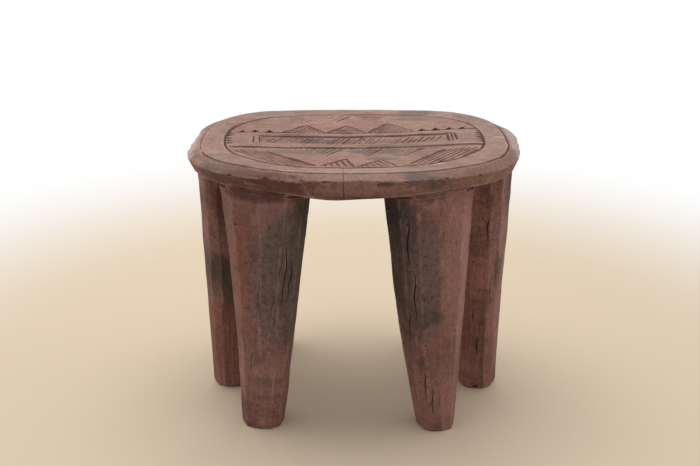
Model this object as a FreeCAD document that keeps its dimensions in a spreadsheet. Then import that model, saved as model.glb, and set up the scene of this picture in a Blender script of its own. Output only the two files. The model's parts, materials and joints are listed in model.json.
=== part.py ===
import FreeCAD, Part
import math
import os

import Sketcher

# Carved stool: a dished oval seat slab carried by six tapering, faceted legs.
# Millimetres, +Z up, feet on Z = 0, the seat centred over the origin, its length along X.

LEGS = ("front_left", "front_right", "left", "right", "back_left", "back_right")
LEVELS = ("sole", "foot", "knee", "top")
FACETS = 12

# Each row is a cell's alias, its value and what it measures.
SEAT_ROWS = (
    ("rim_half_length", 188.5, "widest edge of the rim, centre to end"),
    ("rim_half_depth", 140.0, "widest edge of the rim, centre to front"),
    ("rim_front_radius", 490.0, "arc along the front and back"),
    ("rim_end_radius", 560.0, "arc along each end"),
    ("rim_corner_radius", 116.0, "arc at each corner"),
    ("rim_height", 308.5, "floor to the widest edge of the rim"),
    ("under_half_length", 183.0, "edge of the underside, centre to end"),
    ("under_half_depth", 134.5, "edge of the underside, centre to front"),
    ("under_front_radius", 484.5, "underside arc along the front and back"),
    ("under_end_radius", 554.5, "underside arc along each end"),
    ("under_corner_radius", 110.5, "underside arc at each corner"),
    ("under_height", 288.0, "floor to the seat's underside"),
    ("crown_half_length", 170.0, "blank's top before dishing, centre to end"),
    ("crown_half_depth", 104.0, "blank's top before dishing, centre to front"),
    ("crown_front_radius", 480.0, "blank's top arc along the front and back"),
    ("crown_end_radius", 340.0, "blank's top arc along each end"),
    ("crown_corner_radius", 72.0, "blank's top arc at each corner"),
    ("crown_height", 322.0, "floor to the blank's top before dishing"),
    ("dish_height", 313.0, "floor to the lowest line of the dished top"),
    ("dish_radius", 3000.0, "curve of the dished top from end to end"),
    ("dish_reach", 230.0, "half the width that the dishing cut clears"),
    ("dish_clearance", 40.0, "height that the dishing cut clears"),
    ("mortise_diameter", 36.2, "blind socket for a leg's tenon"),
    ("mortise_depth", 15.5, "depth of that socket"),
)

CARVING_ROWS = (
    ("oval_half_length", 148.0, "incised oval, centre to end"),
    ("oval_half_depth", 107.0, "incised oval, centre to front"),
    ("oval_front_radius", 380.0, "incised oval, arc along the front and back"),
    ("oval_end_radius", 290.0, "incised oval, arc along each end"),
    ("oval_corner_radius", 88.0, "incised oval, arc at each corner"),
    ("oval_width", 3.0, "width of the incised oval line"),
    ("oval_depth", 1.8, "depth of the incised oval line"),
    ("panel_depth", 1.3, "depth of the sunk panel"),
    ("strong_depth", 2.8, "depth of the long lines and of the corners' edges"),
    ("side_depth", 2.2, "depth of the triangles' sides"),
    ("hatch_depth", 1.8, "depth of the hatching"),
    ("notch_width", 10.0, "side of a three-sided notch"),
    ("notch_depth", 3.5, "depth of a notch"),
)

# Lines across the seat, each from its left end over its middle to its right end.
LINE_FIELDS = ("left_x", "left_y", "middle_x", "middle_y", "right_x", "right_y")
LINES = {
    "back_line": (-140.0, 22.0, 0.0, 24.0, 145.0, 37.0),
    "panel_back": (-113.0, 8.0, 0.0, 11.0, 118.0, 19.0),
    "panel_front": (-112.0, -18.0, 0.0, -20.0, 116.0, -11.0),
    "front_line": (-141.0, -38.0, 0.0, -35.0, 149.0, -27.0),
}

# Hatched triangles: left end of the base, peak and right end of the base.
TRIANGLE_FIELDS = ("left_x", "left_y", "peak_x", "peak_y", "right_x", "right_y")
TRIANGLES = {
    "back_left_peak": (-85.0, 23.0, -58.0, 57.0, -33.0, 24.0),
    "back_middle_peak": (-33.0, 24.0, -9.0, 56.0, 14.0, 26.0),
    "back_right_peak": (15.0, 26.0, 40.0, 66.0, 70.0, 31.0),
    "front_left_peak": (-38.0, -103.0, -9.0, -77.0, 0.0, -105.0),
    "front_right_peak": (2.0, -105.0, 29.0, -78.0, 45.0, -101.0),
}
TRIANGLE_HATCHES = {
    "back_left_peak": 8,
    "back_middle_peak": 8,
    "back_right_peak": 8,
    "front_left_peak": 4,
    "front_right_peak": 5,
}

# Hatched corners of the oval: a strong edge from its start to its end, and the far end of the side along
# which the hatches start.
CORNER_FIELDS = ("start_x", "start_y", "end_x", "end_y", "far_x", "far_y")
CORNERS = {
    "left_corner": (-97.0, -53.0, -40.0, -102.0, -138.0, -50.0),
    "right_corner": (102.0, -43.0, 59.0, -96.0, 148.0, -38.0),
}
CORNER_HATCHES = 5
# How far the last hatch of a corner runs, as a share of the strong edge.
LAST_HATCH = 0.75

# Three-sided notches along the line behind the panel.
NOTCH_FIELDS = ("first", "second", "third", "fourth", "fifth", "sixth", "seventh")
NOTCHES = (-131.0, -116.0, -100.0, 80.0, 96.0, 112.0, 128.0)

# Section of a knife cut: an upside-down triangle whose circumradius is this share of the cut's depth,
# so that its flat side clears the surface.
CUT_SECTION = 0.9

SHARED_LEG_ROWS = (
    ("foot_height", 4.0, "height of the worn lower edge of a foot"),
    ("foot_wear", 3.0, "how far that worn edge steps in"),
    ("knee_height", 150.0, "floor to the leg's middle section"),
    ("foot_depth", 42.0, "foot, inner to outer face"),
    ("knee_depth", 56.0, "middle section, inner to outer face"),
    ("top_depth", 70.0, "leg's shoulder, inner to outer face"),
    ("tenon_diameter", 36.0, "round tenon on the leg's shoulder"),
    ("tenon_length", 15.0, "height of that tenon"),
)

# Per leg: foot centre x and y, turn of its outward face from +Y, widths at foot, knee and top,
# how far the knee and top shift sideways from the foot, and where the outer face is, out from
# the foot's centre, at the foot, knee and top.
LEG_FIELDS = (
    "x", "y", "turn", "foot_width", "knee_width", "top_width",
    "knee_shift", "top_shift", "foot_outward", "knee_outward", "top_outward",
)
LEG_VALUES = {
    "front_left": (-106.0, -97.0, 163.0, 47.0, 70.0, 97.0, -6.0, -8.0, 21.0, 24.0, 26.5),
    "front_right": (94.0, -102.0, -163.0, 40.0, 73.0, 94.0, 6.0, 8.5, 22.0, 21.5, 22.5),
    "left": (-152.0, 3.0, 90.0, 42.0, 66.0, 88.0, 0.0, 0.0, 20.5, 24.5, 28.0),
    "right": (152.0, 1.0, -90.0, 46.0, 66.0, 88.0, 0.0, 0.0, 21.0, 24.0, 27.0),
    "back_left": (-112.0, 98.0, 17.0, 44.0, 70.0, 95.0, 5.0, 9.0, 21.0, 23.0, 25.0),
    "back_right": (110.0, 98.0, -17.0, 44.0, 70.0, 95.0, -5.0, -9.0, 21.0, 23.0, 25.0),
}


def named_rows(fields, values, kind):
    """Sheet rows of things of one kind, one alias for each field of each thing."""
    rows = []
    for name, numbers in values.items():
        for field, value in zip(fields, numbers):
            rows.append((f"{name}_{field}", value, f"{kind} {name}: {field}".replace("_", " ")))
    return rows


def fill_sheet(document):
    """Make the sheet that holds every driving dimension."""
    sheet = document.addObject("Spreadsheet::Sheet", "dims")
    rows = list(SEAT_ROWS) + list(CARVING_ROWS) + list(SHARED_LEG_ROWS)
    rows += named_rows(LEG_FIELDS, LEG_VALUES, "leg")
    rows += named_rows(LINE_FIELDS, LINES, "line")
    rows += named_rows(TRIANGLE_FIELDS, TRIANGLES, "triangle")
    rows += named_rows(CORNER_FIELDS, CORNERS, "corner")
    rows += named_rows(NOTCH_FIELDS, {"notch": NOTCHES}, "place of the")
    for number, (alias, value, meaning) in enumerate(rows, start=1):
        sheet.set(f"A{number}", meaning)
        sheet.set(f"B{number}", str(value))
        sheet.setAlias(f"B{number}", alias)
    document.recompute()
    return sheet


document = FreeCAD.newDocument("carved_stool")
dims = fill_sheet(document)


def size(alias):
    """Value of one cell of the sheet."""
    return float(getattr(dims, alias))


def origin_plane(body, role):
    """One of a body's own origin planes."""
    return next(feature for feature in body.Origin.OriginFeatures if feature.Role == role)


def level_sketch(body, name, height):
    """Sketch on a level plane of the body, lifted by a height given as an expression."""
    sketch = body.newObject("Sketcher::SketchObject", name)
    sketch.AttachmentSupport = [(origin_plane(body, "XY_Plane"), "")]
    sketch.MapMode = "FlatFace"
    sketch.setExpression("AttachmentOffset.Base.z", height)
    return sketch


def bind(sketch, constraint, expression):
    """Add a constraint and bind its value to the sheet."""
    index = sketch.addConstraint(constraint)
    name = f"bound_{index}"
    sketch.renameConstraint(index, name)
    sketch.setExpression(f"Constraints.{name}", expression)


def vector(x, y):
    return FreeCAD.Vector(x, y, 0)


def corner_centre(front_centre, front_reach, end_centre, end_reach):
    """Centre of the corner arc that runs smoothly into the front arc and the end arc."""
    along_x = end_centre[0] - front_centre[0]
    along_y = end_centre[1] - front_centre[1]
    gap = math.hypot(along_x, along_y)
    run = (front_reach**2 - end_reach**2 + gap**2) / (2 * gap)
    rise = math.sqrt(front_reach**2 - run**2)
    choices = []
    for side in (1, -1):
        x = front_centre[0] + (along_x * run - side * along_y * rise) / gap
        y = front_centre[1] + (along_y * run + side * along_x * rise) / gap
        choices.append((x, y))
    return max(choices, key=sum)


def add_oval(sketch, outline, inset=None):
    """Closed oval of eight tangent arcs: two ends, front and back, four corners."""
    step_in = size(inset) if inset else 0.0
    half_length = size(f"{outline}_half_length") - step_in
    half_depth = size(f"{outline}_half_depth") - step_in
    front_radius = size(f"{outline}_front_radius") - step_in
    end_radius = size(f"{outline}_end_radius") - step_in
    corner_radius = size(f"{outline}_corner_radius") - step_in
    end_x = half_length - end_radius
    back_y = half_depth - front_radius
    corner_x, corner_y = corner_centre(
        (0.0, back_y), front_radius - corner_radius, (end_x, 0.0), end_radius - corner_radius
    )
    end_angle = math.atan2(corner_y, corner_x - end_x)
    back_angle = math.atan2(corner_y - back_y, corner_x)
    half_turn = math.pi
    arcs = (
        (end_x, 0.0, end_radius, -end_angle, end_angle),
        (corner_x, corner_y, corner_radius, end_angle, back_angle),
        (0.0, back_y, front_radius, back_angle, half_turn - back_angle),
        (-corner_x, corner_y, corner_radius, half_turn - back_angle, half_turn - end_angle),
        (-end_x, 0.0, end_radius, half_turn - end_angle, half_turn + end_angle),
        (-corner_x, -corner_y, corner_radius, half_turn + end_angle, half_turn + back_angle),
        (0.0, -back_y, front_radius, half_turn + back_angle, 2 * half_turn - back_angle),
        (corner_x, -corner_y, corner_radius, -back_angle, -end_angle),
    )
    first = sketch.GeometryCount
    up = FreeCAD.Vector(0, 0, 1)
    for x, y, radius, start, end in arcs:
        sketch.addGeometry(Part.ArcOfCircle(Part.Circle(vector(x, y), up, radius), start, end), False)
    right, back, left, front = first, first + 2, first + 4, first + 6
    for step in range(len(arcs)):
        following = first + (step + 1) % len(arcs)
        sketch.addConstraint(Sketcher.Constraint("Tangent", first + step, 2, following, 1))
    for arc, axis in ((right, -1), (left, -1), (front, -2), (back, -2)):
        sketch.addConstraint(Sketcher.Constraint("PointOnObject", arc, 3, axis))
    for one, other in ((right, left), (back, front)):
        sketch.addConstraint(Sketcher.Constraint("Equal", one, other))
    for corner in (first + 3, first + 5, first + 7):
        sketch.addConstraint(Sketcher.Constraint("Equal", first + 1, corner))
    less = f" - dims.{inset}" if inset else ""
    for arc, part, radius in (
        (right, "end", end_radius), (back, "front", front_radius), (first + 1, "corner", corner_radius),
    ):
        bind(sketch, Sketcher.Constraint("Radius", arc, radius), f"dims.{outline}_{part}_radius{less}")
    past_end = f"dims.{outline}_end_radius - dims.{outline}_half_length"
    past_back = f"dims.{outline}_front_radius - dims.{outline}_half_depth"
    bind(sketch, Sketcher.Constraint("DistanceX", right, 3, -1, 1, -end_x), past_end)
    bind(sketch, Sketcher.Constraint("DistanceX", -1, 1, left, 3, -end_x), past_end)
    bind(sketch, Sketcher.Constraint("DistanceY", back, 3, -1, 1, -back_y), past_back)
    bind(sketch, Sketcher.Constraint("DistanceY", -1, 1, front, 3, -back_y), past_back)


def add_polygon(sketch, corners):
    """Closed polygon; each corner is an x and a y, both as a value with its expression."""
    first = sketch.GeometryCount
    count = len(corners)
    for step in range(count):
        start, end = corners[step], corners[(step + 1) % count]
        line = Part.LineSegment(vector(start[0][0], start[1][0]), vector(end[0][0], end[1][0]))
        sketch.addGeometry(line, False)
    for step in range(count):
        following = first + (step + 1) % count
        sketch.addConstraint(Sketcher.Constraint("Coincident", first + step, 2, following, 1))
    for step, (x, y) in enumerate(corners):
        bind(sketch, Sketcher.Constraint("DistanceX", first + step, 1, x[0]), x[1])
        bind(sketch, Sketcher.Constraint("DistanceY", first + step, 1, y[0]), y[1])


def add_circle(sketch, centre_x, centre_y, diameter):
    """Circle whose centre is a value with its expression on each axis."""
    circle = Part.Circle(vector(centre_x[0], centre_y[0]), FreeCAD.Vector(0, 0, 1), size(diameter) / 2)
    index = sketch.addGeometry(circle, False)
    bind(sketch, Sketcher.Constraint("DistanceX", index, 3, centre_x[0]), centre_x[1])
    bind(sketch, Sketcher.Constraint("DistanceY", index, 3, centre_y[0]), centre_y[1])
    bind(sketch, Sketcher.Constraint("Diameter", index, size(diameter)), f"dims.{diameter}")


def section_corner(leg, level, step):
    """One corner of a leg's faceted section: its sideways and its outward place."""
    half_facet = math.pi / FACETS
    angle = (2 * step + 1) * half_facet
    across = math.cos(angle) / math.cos(half_facet) / 2
    outwards = math.sin(angle) / math.cos(half_facet) / 2
    near = "foot" if level == "sole" else level
    width = size(f"{leg}_{near}_width")
    depth = size(f"{near}_depth")
    width_words = f"dims.{leg}_{near}_width"
    depth_words = f"dims.{near}_depth"
    if level == "sole":
        width -= 2 * size("foot_wear")
        depth -= 2 * size("foot_wear")
        width_words = f"({width_words} - 2 * dims.foot_wear)"
        depth_words = f"({depth_words} - 2 * dims.foot_wear)"
    middle = size(f"{leg}_{near}_outward") - size(f"{near}_depth") / 2
    middle_words = f"dims.{leg}_{near}_outward - dims.{near}_depth / 2"
    shift, shift_words = 0.0, "0 "
    if near != "foot":
        shift, shift_words = size(f"{leg}_{near}_shift"), f"dims.{leg}_{near}_shift"
    x = (shift + across * width, f"{shift_words} + {across:.6f} * {width_words}")
    y = (middle + outwards * depth, f"{middle_words} + {outwards:.6f} * {depth_words}")
    return x, y


LEVEL_HEIGHTS = {
    "sole": "0 mm", "foot": "dims.foot_height", "knee": "dims.knee_height", "top": "dims.under_height",
}


def make_leg(leg):
    """Tapering leg with long flat facets and a round tenon on its shoulder."""
    node = f"leg_{leg}"
    body = document.addObject("PartDesign::Body", f"{node}_body")
    body.Label = node
    sections = []
    for level in LEVELS:
        sketch = level_sketch(body, f"{node}_{level}", LEVEL_HEIGHTS[level])
        add_polygon(sketch, [section_corner(leg, level, step) for step in range(FACETS)])
        sections.append(sketch)
    document.recompute()
    shaft = body.newObject("PartDesign::AdditiveLoft", f"{node}_shaft")
    shaft.Profile = sections[0]
    shaft.Sections = sections[1:]
    shaft.Ruled = True
    document.recompute()
    tenon_sketch = level_sketch(body, f"{node}_tenon_outline", "dims.under_height")
    tenon_x = (size(f"{leg}_top_shift"), f"dims.{leg}_top_shift")
    tenon_outward = size(f"{leg}_top_outward") - size("top_depth") / 2
    tenon_y = (tenon_outward, f"dims.{leg}_top_outward - dims.top_depth / 2")
    add_circle(tenon_sketch, tenon_x, tenon_y, "tenon_diameter")
    tenon = body.newObject("PartDesign::Pad", f"{node}_tenon")
    tenon.Profile = tenon_sketch
    tenon.setExpression("Length", "dims.tenon_length")
    turn = FreeCAD.Rotation(FreeCAD.Vector(0, 0, 1), size(f"{leg}_turn"))
    body.Placement = FreeCAD.Placement(vector(size(f"{leg}_x"), size(f"{leg}_y")), turn)
    body.setExpression("Placement.Base.x", f"dims.{leg}_x")
    body.setExpression("Placement.Base.y", f"dims.{leg}_y")
    body.setExpression("Placement.Rotation.Angle", f"dims.{leg}_turn")
    return body


def mortise_place(leg):
    """Where a leg's tenon enters the underside: x and y, each a value with its expression."""
    turn = math.radians(size(f"{leg}_turn"))
    shift = size(f"{leg}_top_shift")
    outward = size(f"{leg}_top_outward") - size("top_depth") / 2
    x = size(f"{leg}_x") + math.cos(turn) * shift - math.sin(turn) * outward
    y = size(f"{leg}_y") + math.sin(turn) * shift + math.cos(turn) * outward
    outward_words = f"(dims.{leg}_top_outward - dims.top_depth / 2)"
    cosine, sine = f"cos(dims.{leg}_turn)", f"sin(dims.{leg}_turn)"
    x_words = f"dims.{leg}_x + {cosine} * dims.{leg}_top_shift - {sine} * {outward_words}"
    y_words = f"dims.{leg}_y + {sine} * dims.{leg}_top_shift + {cosine} * {outward_words}"
    return (x, x_words), (y, y_words)


def add_dish_profile(sketch):
    """Region above the dished top, seen from the front: one long shallow arc and three lines."""
    radius = size("dish_radius")
    reach = size("dish_reach")
    centre_height = size("dish_height") + radius
    end_height = centre_height - math.sqrt(radius**2 - reach**2)
    clear_height = size("dish_height") + size("dish_clearance")
    swing = math.asin(reach / radius)
    down = -math.pi / 2
    circle = Part.Circle(vector(0, centre_height), FreeCAD.Vector(0, 0, 1), radius)
    corners = (vector(reach, end_height), vector(reach, clear_height), vector(-reach, clear_height))
    arc = sketch.addGeometry(Part.ArcOfCircle(circle, down - swing, down + swing), False)
    right = sketch.addGeometry(Part.LineSegment(corners[0], corners[1]), False)
    over = sketch.addGeometry(Part.LineSegment(corners[1], corners[2]), False)
    left = sketch.addGeometry(Part.LineSegment(corners[2], vector(-reach, end_height)), False)
    chain = ((arc, right), (right, over), (over, left), (left, arc))
    for one, following in chain:
        sketch.addConstraint(Sketcher.Constraint("Coincident", one, 2, following, 1))
    for upright in (right, left):
        sketch.addConstraint(Sketcher.Constraint("Vertical", upright))
    sketch.addConstraint(Sketcher.Constraint("Horizontal", over))
    sketch.addConstraint(Sketcher.Constraint("PointOnObject", arc, 3, -2))
    bind(sketch, Sketcher.Constraint("Radius", arc, radius), "dims.dish_radius")
    centre_words = "dims.dish_height + dims.dish_radius"
    bind(sketch, Sketcher.Constraint("DistanceY", arc, 3, centre_height), centre_words)
    bind(sketch, Sketcher.Constraint("DistanceX", right, 1, reach), "dims.dish_reach")
    bind(sketch, Sketcher.Constraint("DistanceX", left, 1, -reach), "-dims.dish_reach")
    clear_words = "dims.dish_height + dims.dish_clearance"
    bind(sketch, Sketcher.Constraint("DistanceY", over, 1, clear_height), clear_words)


def make_slab():
    """Seat slab: slanted lower rim, bevelled upper rim, dished top, six blind sockets below."""
    body = document.addObject("PartDesign::Body", "seat_slab")
    outlines = []
    for outline in ("under", "rim", "crown"):
        sketch = level_sketch(body, f"seat_{outline}", f"dims.{outline}_height")
        add_oval(sketch, outline)
        outlines.append(sketch)
    document.recompute()
    blank = body.newObject("PartDesign::AdditiveLoft", "seat_blank")
    blank.Profile = outlines[0]
    blank.Sections = outlines[1:]
    blank.Ruled = True
    document.recompute()
    profile = body.newObject("Sketcher::SketchObject", "seat_dish_profile")
    profile.AttachmentSupport = [(origin_plane(body, "XZ_Plane"), "")]
    profile.MapMode = "FlatFace"
    add_dish_profile(profile)
    document.recompute()
    dish = body.newObject("PartDesign::Pocket", "seat_dish")
    dish.Profile = profile
    dish.Type = "ThroughAll"
    dish.Midplane = True
    document.recompute()
    sockets = level_sketch(body, "seat_socket_outlines", "dims.under_height")
    for leg in LEGS:
        centre_x, centre_y = mortise_place(leg)
        add_circle(sockets, centre_x, centre_y, "mortise_diameter")
    document.recompute()
    mortises = body.newObject("PartDesign::Pocket", "seat_sockets")
    mortises.Profile = sockets
    mortises.setExpression("Length", "dims.mortise_depth")
    mortises.Reversed = True
    document.recompute()
    return body, blank, dish, mortises


def carved_place(name, point):
    """A point of the carving: x and y, each a value with its expression."""
    return tuple((size(f"{name}_{point}_{axis}"), f"dims.{name}_{point}_{axis}") for axis in "xy")


def between(one, other, share):
    """Point that lies a share of the way from one point of the carving to another."""
    point = []
    for (value, words), (end, end_words) in zip(one, other):
        point.append((value + share * (end - value), f"({words} + {share:.4f} * ({end_words} - {words}))"))
    return tuple(point)


def dish_level(x):
    """Height of the dished top at an x: a value with its expression."""
    value, words = x
    radius = size("dish_radius")
    height = size("dish_height") + radius - math.sqrt(radius**2 - value**2)
    return height, f"dims.dish_height + dims.dish_radius - sqrt(dims.dish_radius^2 - {words}^2)"


def knife_cut(start, end, depth):
    """Straight cut of triangular section along the dished top, from one point to another."""
    (start_x, start_y), (end_x, end_y) = start, end
    along_x, along_y = end_x[0] - start_x[0], end_y[0] - start_y[0]
    run = math.hypot(along_x, along_y)
    start_level, end_level = dish_level(start_x), dish_level(end_x)
    turn = math.degrees(math.atan2(along_y, along_x))
    slope = math.degrees(math.atan2(end_level[0] - start_level[0], run))
    cut = document.addObject("Part::Prism", "knife_cut")
    cut.Polygon = 3
    cut.setExpression("Circumradius", f"{CUT_SECTION} * dims.{depth}")
    cut.setExpression("Height", f"sqrt(({end_x[1]} - {start_x[1]})^2 + ({end_y[1]} - {start_y[1]})^2)")
    cut.Placement = FreeCAD.Placement(FreeCAD.Vector(), FreeCAD.Rotation(turn, 90 - slope, 0))
    cut.setExpression("Placement.Base.x", start_x[1])
    cut.setExpression("Placement.Base.y", start_y[1])
    cut.setExpression("Placement.Base.z", f"{start_level[1]} - {1 - CUT_SECTION:.2f} * dims.{depth}")
    return cut


def long_line(name, depth):
    """The two cuts of a long line."""
    left, middle, right = (carved_place(name, point) for point in ("left", "middle", "right"))
    return [knife_cut(left, middle, depth), knife_cut(middle, right, depth)]


def hatched_triangle(name):
    """The two sides of a triangle, and cuts that fill it along its right side."""
    left, peak, right = (carved_place(name, point) for point in ("left", "peak", "right"))
    cuts = [knife_cut(left, peak, "side_depth"), knife_cut(peak, right, "side_depth")]
    hatches = TRIANGLE_HATCHES[name]
    for step in range(1, hatches + 1):
        share = step / (hatches + 1)
        cuts.append(knife_cut(between(left, peak, share), between(left, right, share), "hatch_depth"))
    return cuts


def hatched_corner(name):
    """The strong edge of a corner, and cuts along it that get shorter towards the oval's end."""
    start, end, far = (carved_place(name, point) for point in ("start", "end", "far"))
    cuts = [knife_cut(start, end, "strong_depth")]
    for step in range(1, CORNER_HATCHES + 1):
        share = step / (CORNER_HATCHES + 1)
        reach = 1 - share * (1 - LAST_HATCH)
        hatch_start = between(start, far, share)
        hatch_end = []
        for (value, words), (low, low_words), (high, high_words) in zip(hatch_start, start, end):
            end_words = f"({words} + {reach:.4f} * ({high_words} - {low_words}))"
            hatch_end.append((value + reach * (high - low), end_words))
        cuts.append(knife_cut(hatch_start, tuple(hatch_end), "hatch_depth"))
    return cuts


def notch(place):
    """Three-sided notch on the line behind the panel, its point to the back."""
    x = (size(f"notch_{place}"), f"dims.notch_{place}")
    near, far = ("left", "middle") if x[0] < 0 else ("middle", "right")
    one, other = carved_place("back_line", near), carved_place("back_line", far)
    share = (x[0] - one[0][0]) / (other[0][0] - one[0][0])
    y_words = between(one, other, share)[1][1]
    cut = document.addObject("Part::Prism", "notch")
    cut.Polygon = 3
    cut.setExpression("Circumradius", "dims.notch_width / sqrt(3)")
    cut.setExpression("Height", "dims.dish_clearance")
    cut.Placement = FreeCAD.Placement(FreeCAD.Vector(), FreeCAD.Rotation(90, 0, 0))
    cut.setExpression("Placement.Base.x", x[1])
    cut.setExpression("Placement.Base.y", f"{y_words} + dims.notch_width / sqrt(12)")
    cut.setExpression("Placement.Base.z", f"{dish_level(x)[1]} - dims.notch_depth")
    return cut


def sunk_floor(outline, depth):
    """The wood above a floor that follows the dished top at a depth, inside an outline."""
    columns = document.addObject("Part::Extrusion", "carved_columns")
    columns.Base = outline
    columns.DirMode = "Custom"
    columns.Dir = FreeCAD.Vector(0, 0, 1)
    columns.Solid = True
    columns.setExpression("LengthFwd", "dims.dish_clearance")
    drum = document.addObject("Part::Cylinder", "carving_floor")
    drum.setExpression("Radius", f"dims.dish_radius + dims.{depth}")
    drum.setExpression("Height", "2 * dims.dish_reach")
    drum.Placement = FreeCAD.Placement(FreeCAD.Vector(), FreeCAD.Rotation(FreeCAD.Vector(1, 0, 0), 90))
    drum.setExpression("Placement.Base.y", "dims.dish_reach")
    drum.setExpression("Placement.Base.z", "dims.dish_height + dims.dish_radius")
    wood = document.addObject("Part::Common", "carved_wood")
    wood.Base = columns
    wood.Tool = drum
    return wood


def carved_outline(name):
    """Sketch for an outline of the carving, at the level of the underside."""
    outline = document.addObject("Sketcher::SketchObject", name)
    outline.setExpression("Placement.Base.z", "dims.under_height")
    return outline


def carve(seat, cuts, name):
    """Seat with cuts taken out of it."""
    tool = cuts[0]
    if len(cuts) > 1:
        tool = document.addObject("Part::MultiFuse", f"{name}_cuts")
        tool.Shapes = cuts
    carved = document.addObject("Part::Cut", name)
    carved.Base = seat
    carved.Tool = tool
    document.recompute()
    if carved.Shape.Volume >= seat.Shape.Volume:
        raise RuntimeError(f"{name} removed nothing")
    return carved


def make_seat(slab):
    """Seat with its main carving: oval, panel, long lines, hatched triangles and corners, notches."""
    oval = carved_outline("oval_outline")
    add_oval(oval, "oval")
    add_oval(oval, "oval", "oval_width")
    panel = carved_outline("panel_outline")
    front = [carved_place("panel_front", point) for point in ("left", "middle", "right")]
    back = [carved_place("panel_back", point) for point in ("right", "middle", "left")]
    add_polygon(panel, front + back)
    document.recompute()
    seat = carve(slab, [sunk_floor(oval, "oval_depth")], "seat_oval")
    seat = carve(seat, [sunk_floor(panel, "panel_depth")], "seat_panel")
    seat = carve(seat, [notch(place) for place in NOTCH_FIELDS], "seat_notches")
    for name in TRIANGLES:
        seat = carve(seat, hatched_triangle(name), f"seat_{name}")
    for name in CORNERS:
        seat = carve(seat, hatched_corner(name), f"seat_{name}")
    long_cuts = long_line("front_line", "strong_depth") + long_line("panel_back", "strong_depth")
    long_cuts += long_line("back_line", "hatch_depth") + long_line("panel_front", "side_depth")
    seat = carve(seat, long_cuts, "seat_long_lines")
    seat.Label = "seat"
    return seat


def check_cuts(blank, dish, mortises, seat):
    """Each cut has to take wood away."""
    volumes = [blank.Shape.Volume, dish.Shape.Volume, mortises.Shape.Volume, seat.Shape.Volume]
    for before, after in zip(volumes, volumes[1:]):
        if after >= before:
            raise RuntimeError(f"a cut in the seat removed nothing: {before:.0f} to {after:.0f}")
    socket = math.pi * (size("mortise_diameter") / 2) ** 2 * size("mortise_depth")
    removed = volumes[1] - volumes[2]
    if abs(removed - len(LEGS) * socket) > 0.01 * removed:
        raise RuntimeError(f"the sockets removed {removed:.0f} and not {len(LEGS) * socket:.0f}")


def check_document(nodes):
    """Every object has to be free of errors and every node a valid single solid."""
    for item in document.Objects:
        if "Invalid" in item.State or "Error" in item.State:
            raise RuntimeError(f"{item.Label} failed: {item.State}")
    for node in nodes:
        if node.Shape.isNull() or not node.Shape.isValid() or len(node.Shape.Solids) != 1:
            raise RuntimeError(f"{node.Label} is not one valid solid")


slab, blank, dish, mortises = make_slab()
seat = make_seat(slab)
legs = [make_leg(leg) for leg in LEGS]
document.recompute()
nodes = [seat] + legs
check_cuts(blank, dish, mortises, seat)
check_document(nodes)

os.makedirs("parts", exist_ok=True)
for node in nodes:
    node.Shape.exportStep(f"parts/{node.Label}.step")
    box = node.Shape.BoundBox
    print(node.Label, f"volume {node.Shape.Volume / 1000:.0f} cm3", box)
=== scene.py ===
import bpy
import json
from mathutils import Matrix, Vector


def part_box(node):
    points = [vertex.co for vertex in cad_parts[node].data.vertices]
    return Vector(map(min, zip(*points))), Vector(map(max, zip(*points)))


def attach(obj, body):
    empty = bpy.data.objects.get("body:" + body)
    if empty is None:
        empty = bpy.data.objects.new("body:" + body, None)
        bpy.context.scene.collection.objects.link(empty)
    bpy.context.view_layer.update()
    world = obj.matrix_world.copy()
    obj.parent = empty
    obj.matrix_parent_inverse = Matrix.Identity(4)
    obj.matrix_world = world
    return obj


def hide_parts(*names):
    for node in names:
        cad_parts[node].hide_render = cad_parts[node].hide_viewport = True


bl_info = {
    "name": "Carved stool",
    "version": (1, 0, 0),
    "blender": (4, 5, 0),
    "location": "View3D > Sidebar > Stool",
    "description": "Builds a low carved stool with an incised seat and faceted legs around its frame",
    "category": "Object",
}

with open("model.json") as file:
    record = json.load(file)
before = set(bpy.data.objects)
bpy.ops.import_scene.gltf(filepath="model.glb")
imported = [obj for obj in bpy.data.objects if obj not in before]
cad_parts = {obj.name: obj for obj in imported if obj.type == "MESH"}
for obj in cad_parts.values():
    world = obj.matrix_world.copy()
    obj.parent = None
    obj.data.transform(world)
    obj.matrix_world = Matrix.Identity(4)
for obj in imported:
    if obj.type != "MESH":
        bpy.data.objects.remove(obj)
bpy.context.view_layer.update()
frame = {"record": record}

import json
import math
import random
from collections import namedtuple

import bmesh
import bpy
from bpy.props import FloatProperty, FloatVectorProperty, IntProperty, PointerProperty
from mathutils import Matrix, Vector, noise
from mathutils.bvhtree import BVHTree

# Sizes in the modelling functions are millimetres; each finished mesh is scaled to metres.
METRE = 0.001
# A curve's end caps are loose, and are merged to it within this distance.
CAP_GAP = 0.0005
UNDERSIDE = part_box("seat")[0].z / METRE

# The seat's outlines: half length, half depth to the front and to the back, and fullness.
Outline = namedtuple("Outline", "half_length front back fullness")
TOP_EDGE = Outline(175.0, 126.5, 129.5, 2.75)
RIM_EDGE = Outline(188.0, 138.0, 141.5, 2.72)
UNDER_EDGE = Outline(182.5, 132.5, 136.0, 2.68)
CARVED_OVAL = Outline(148.0, 107.5, 106.5, 2.5)
OVAL_TILT = math.radians(2.0)

# Where the rim bulges from its outline: direction and width in degrees, and height.
RIM_SWELLS = ((20.0, 16.0, 3.5), (197.0, 13.0, 2.2), (145.0, 13.0, 4.5), (167.0, 8.0, -1.0))

# Slow waves of the rim's outline as height, number around it and start, and the short flats of the tool.
RIM_WAVES = ((0.5, 3, 0.4), (0.4, 5, 1.9))
RIM_FLATS = 26
FLAT_HEIGHT = 0.8
# The rim strays from its outline outside this share of the way out, and in full after this run.
STRAY_START, STRAY_RUN = 0.94, 0.05
MEAN_REACH = 160.0
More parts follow.
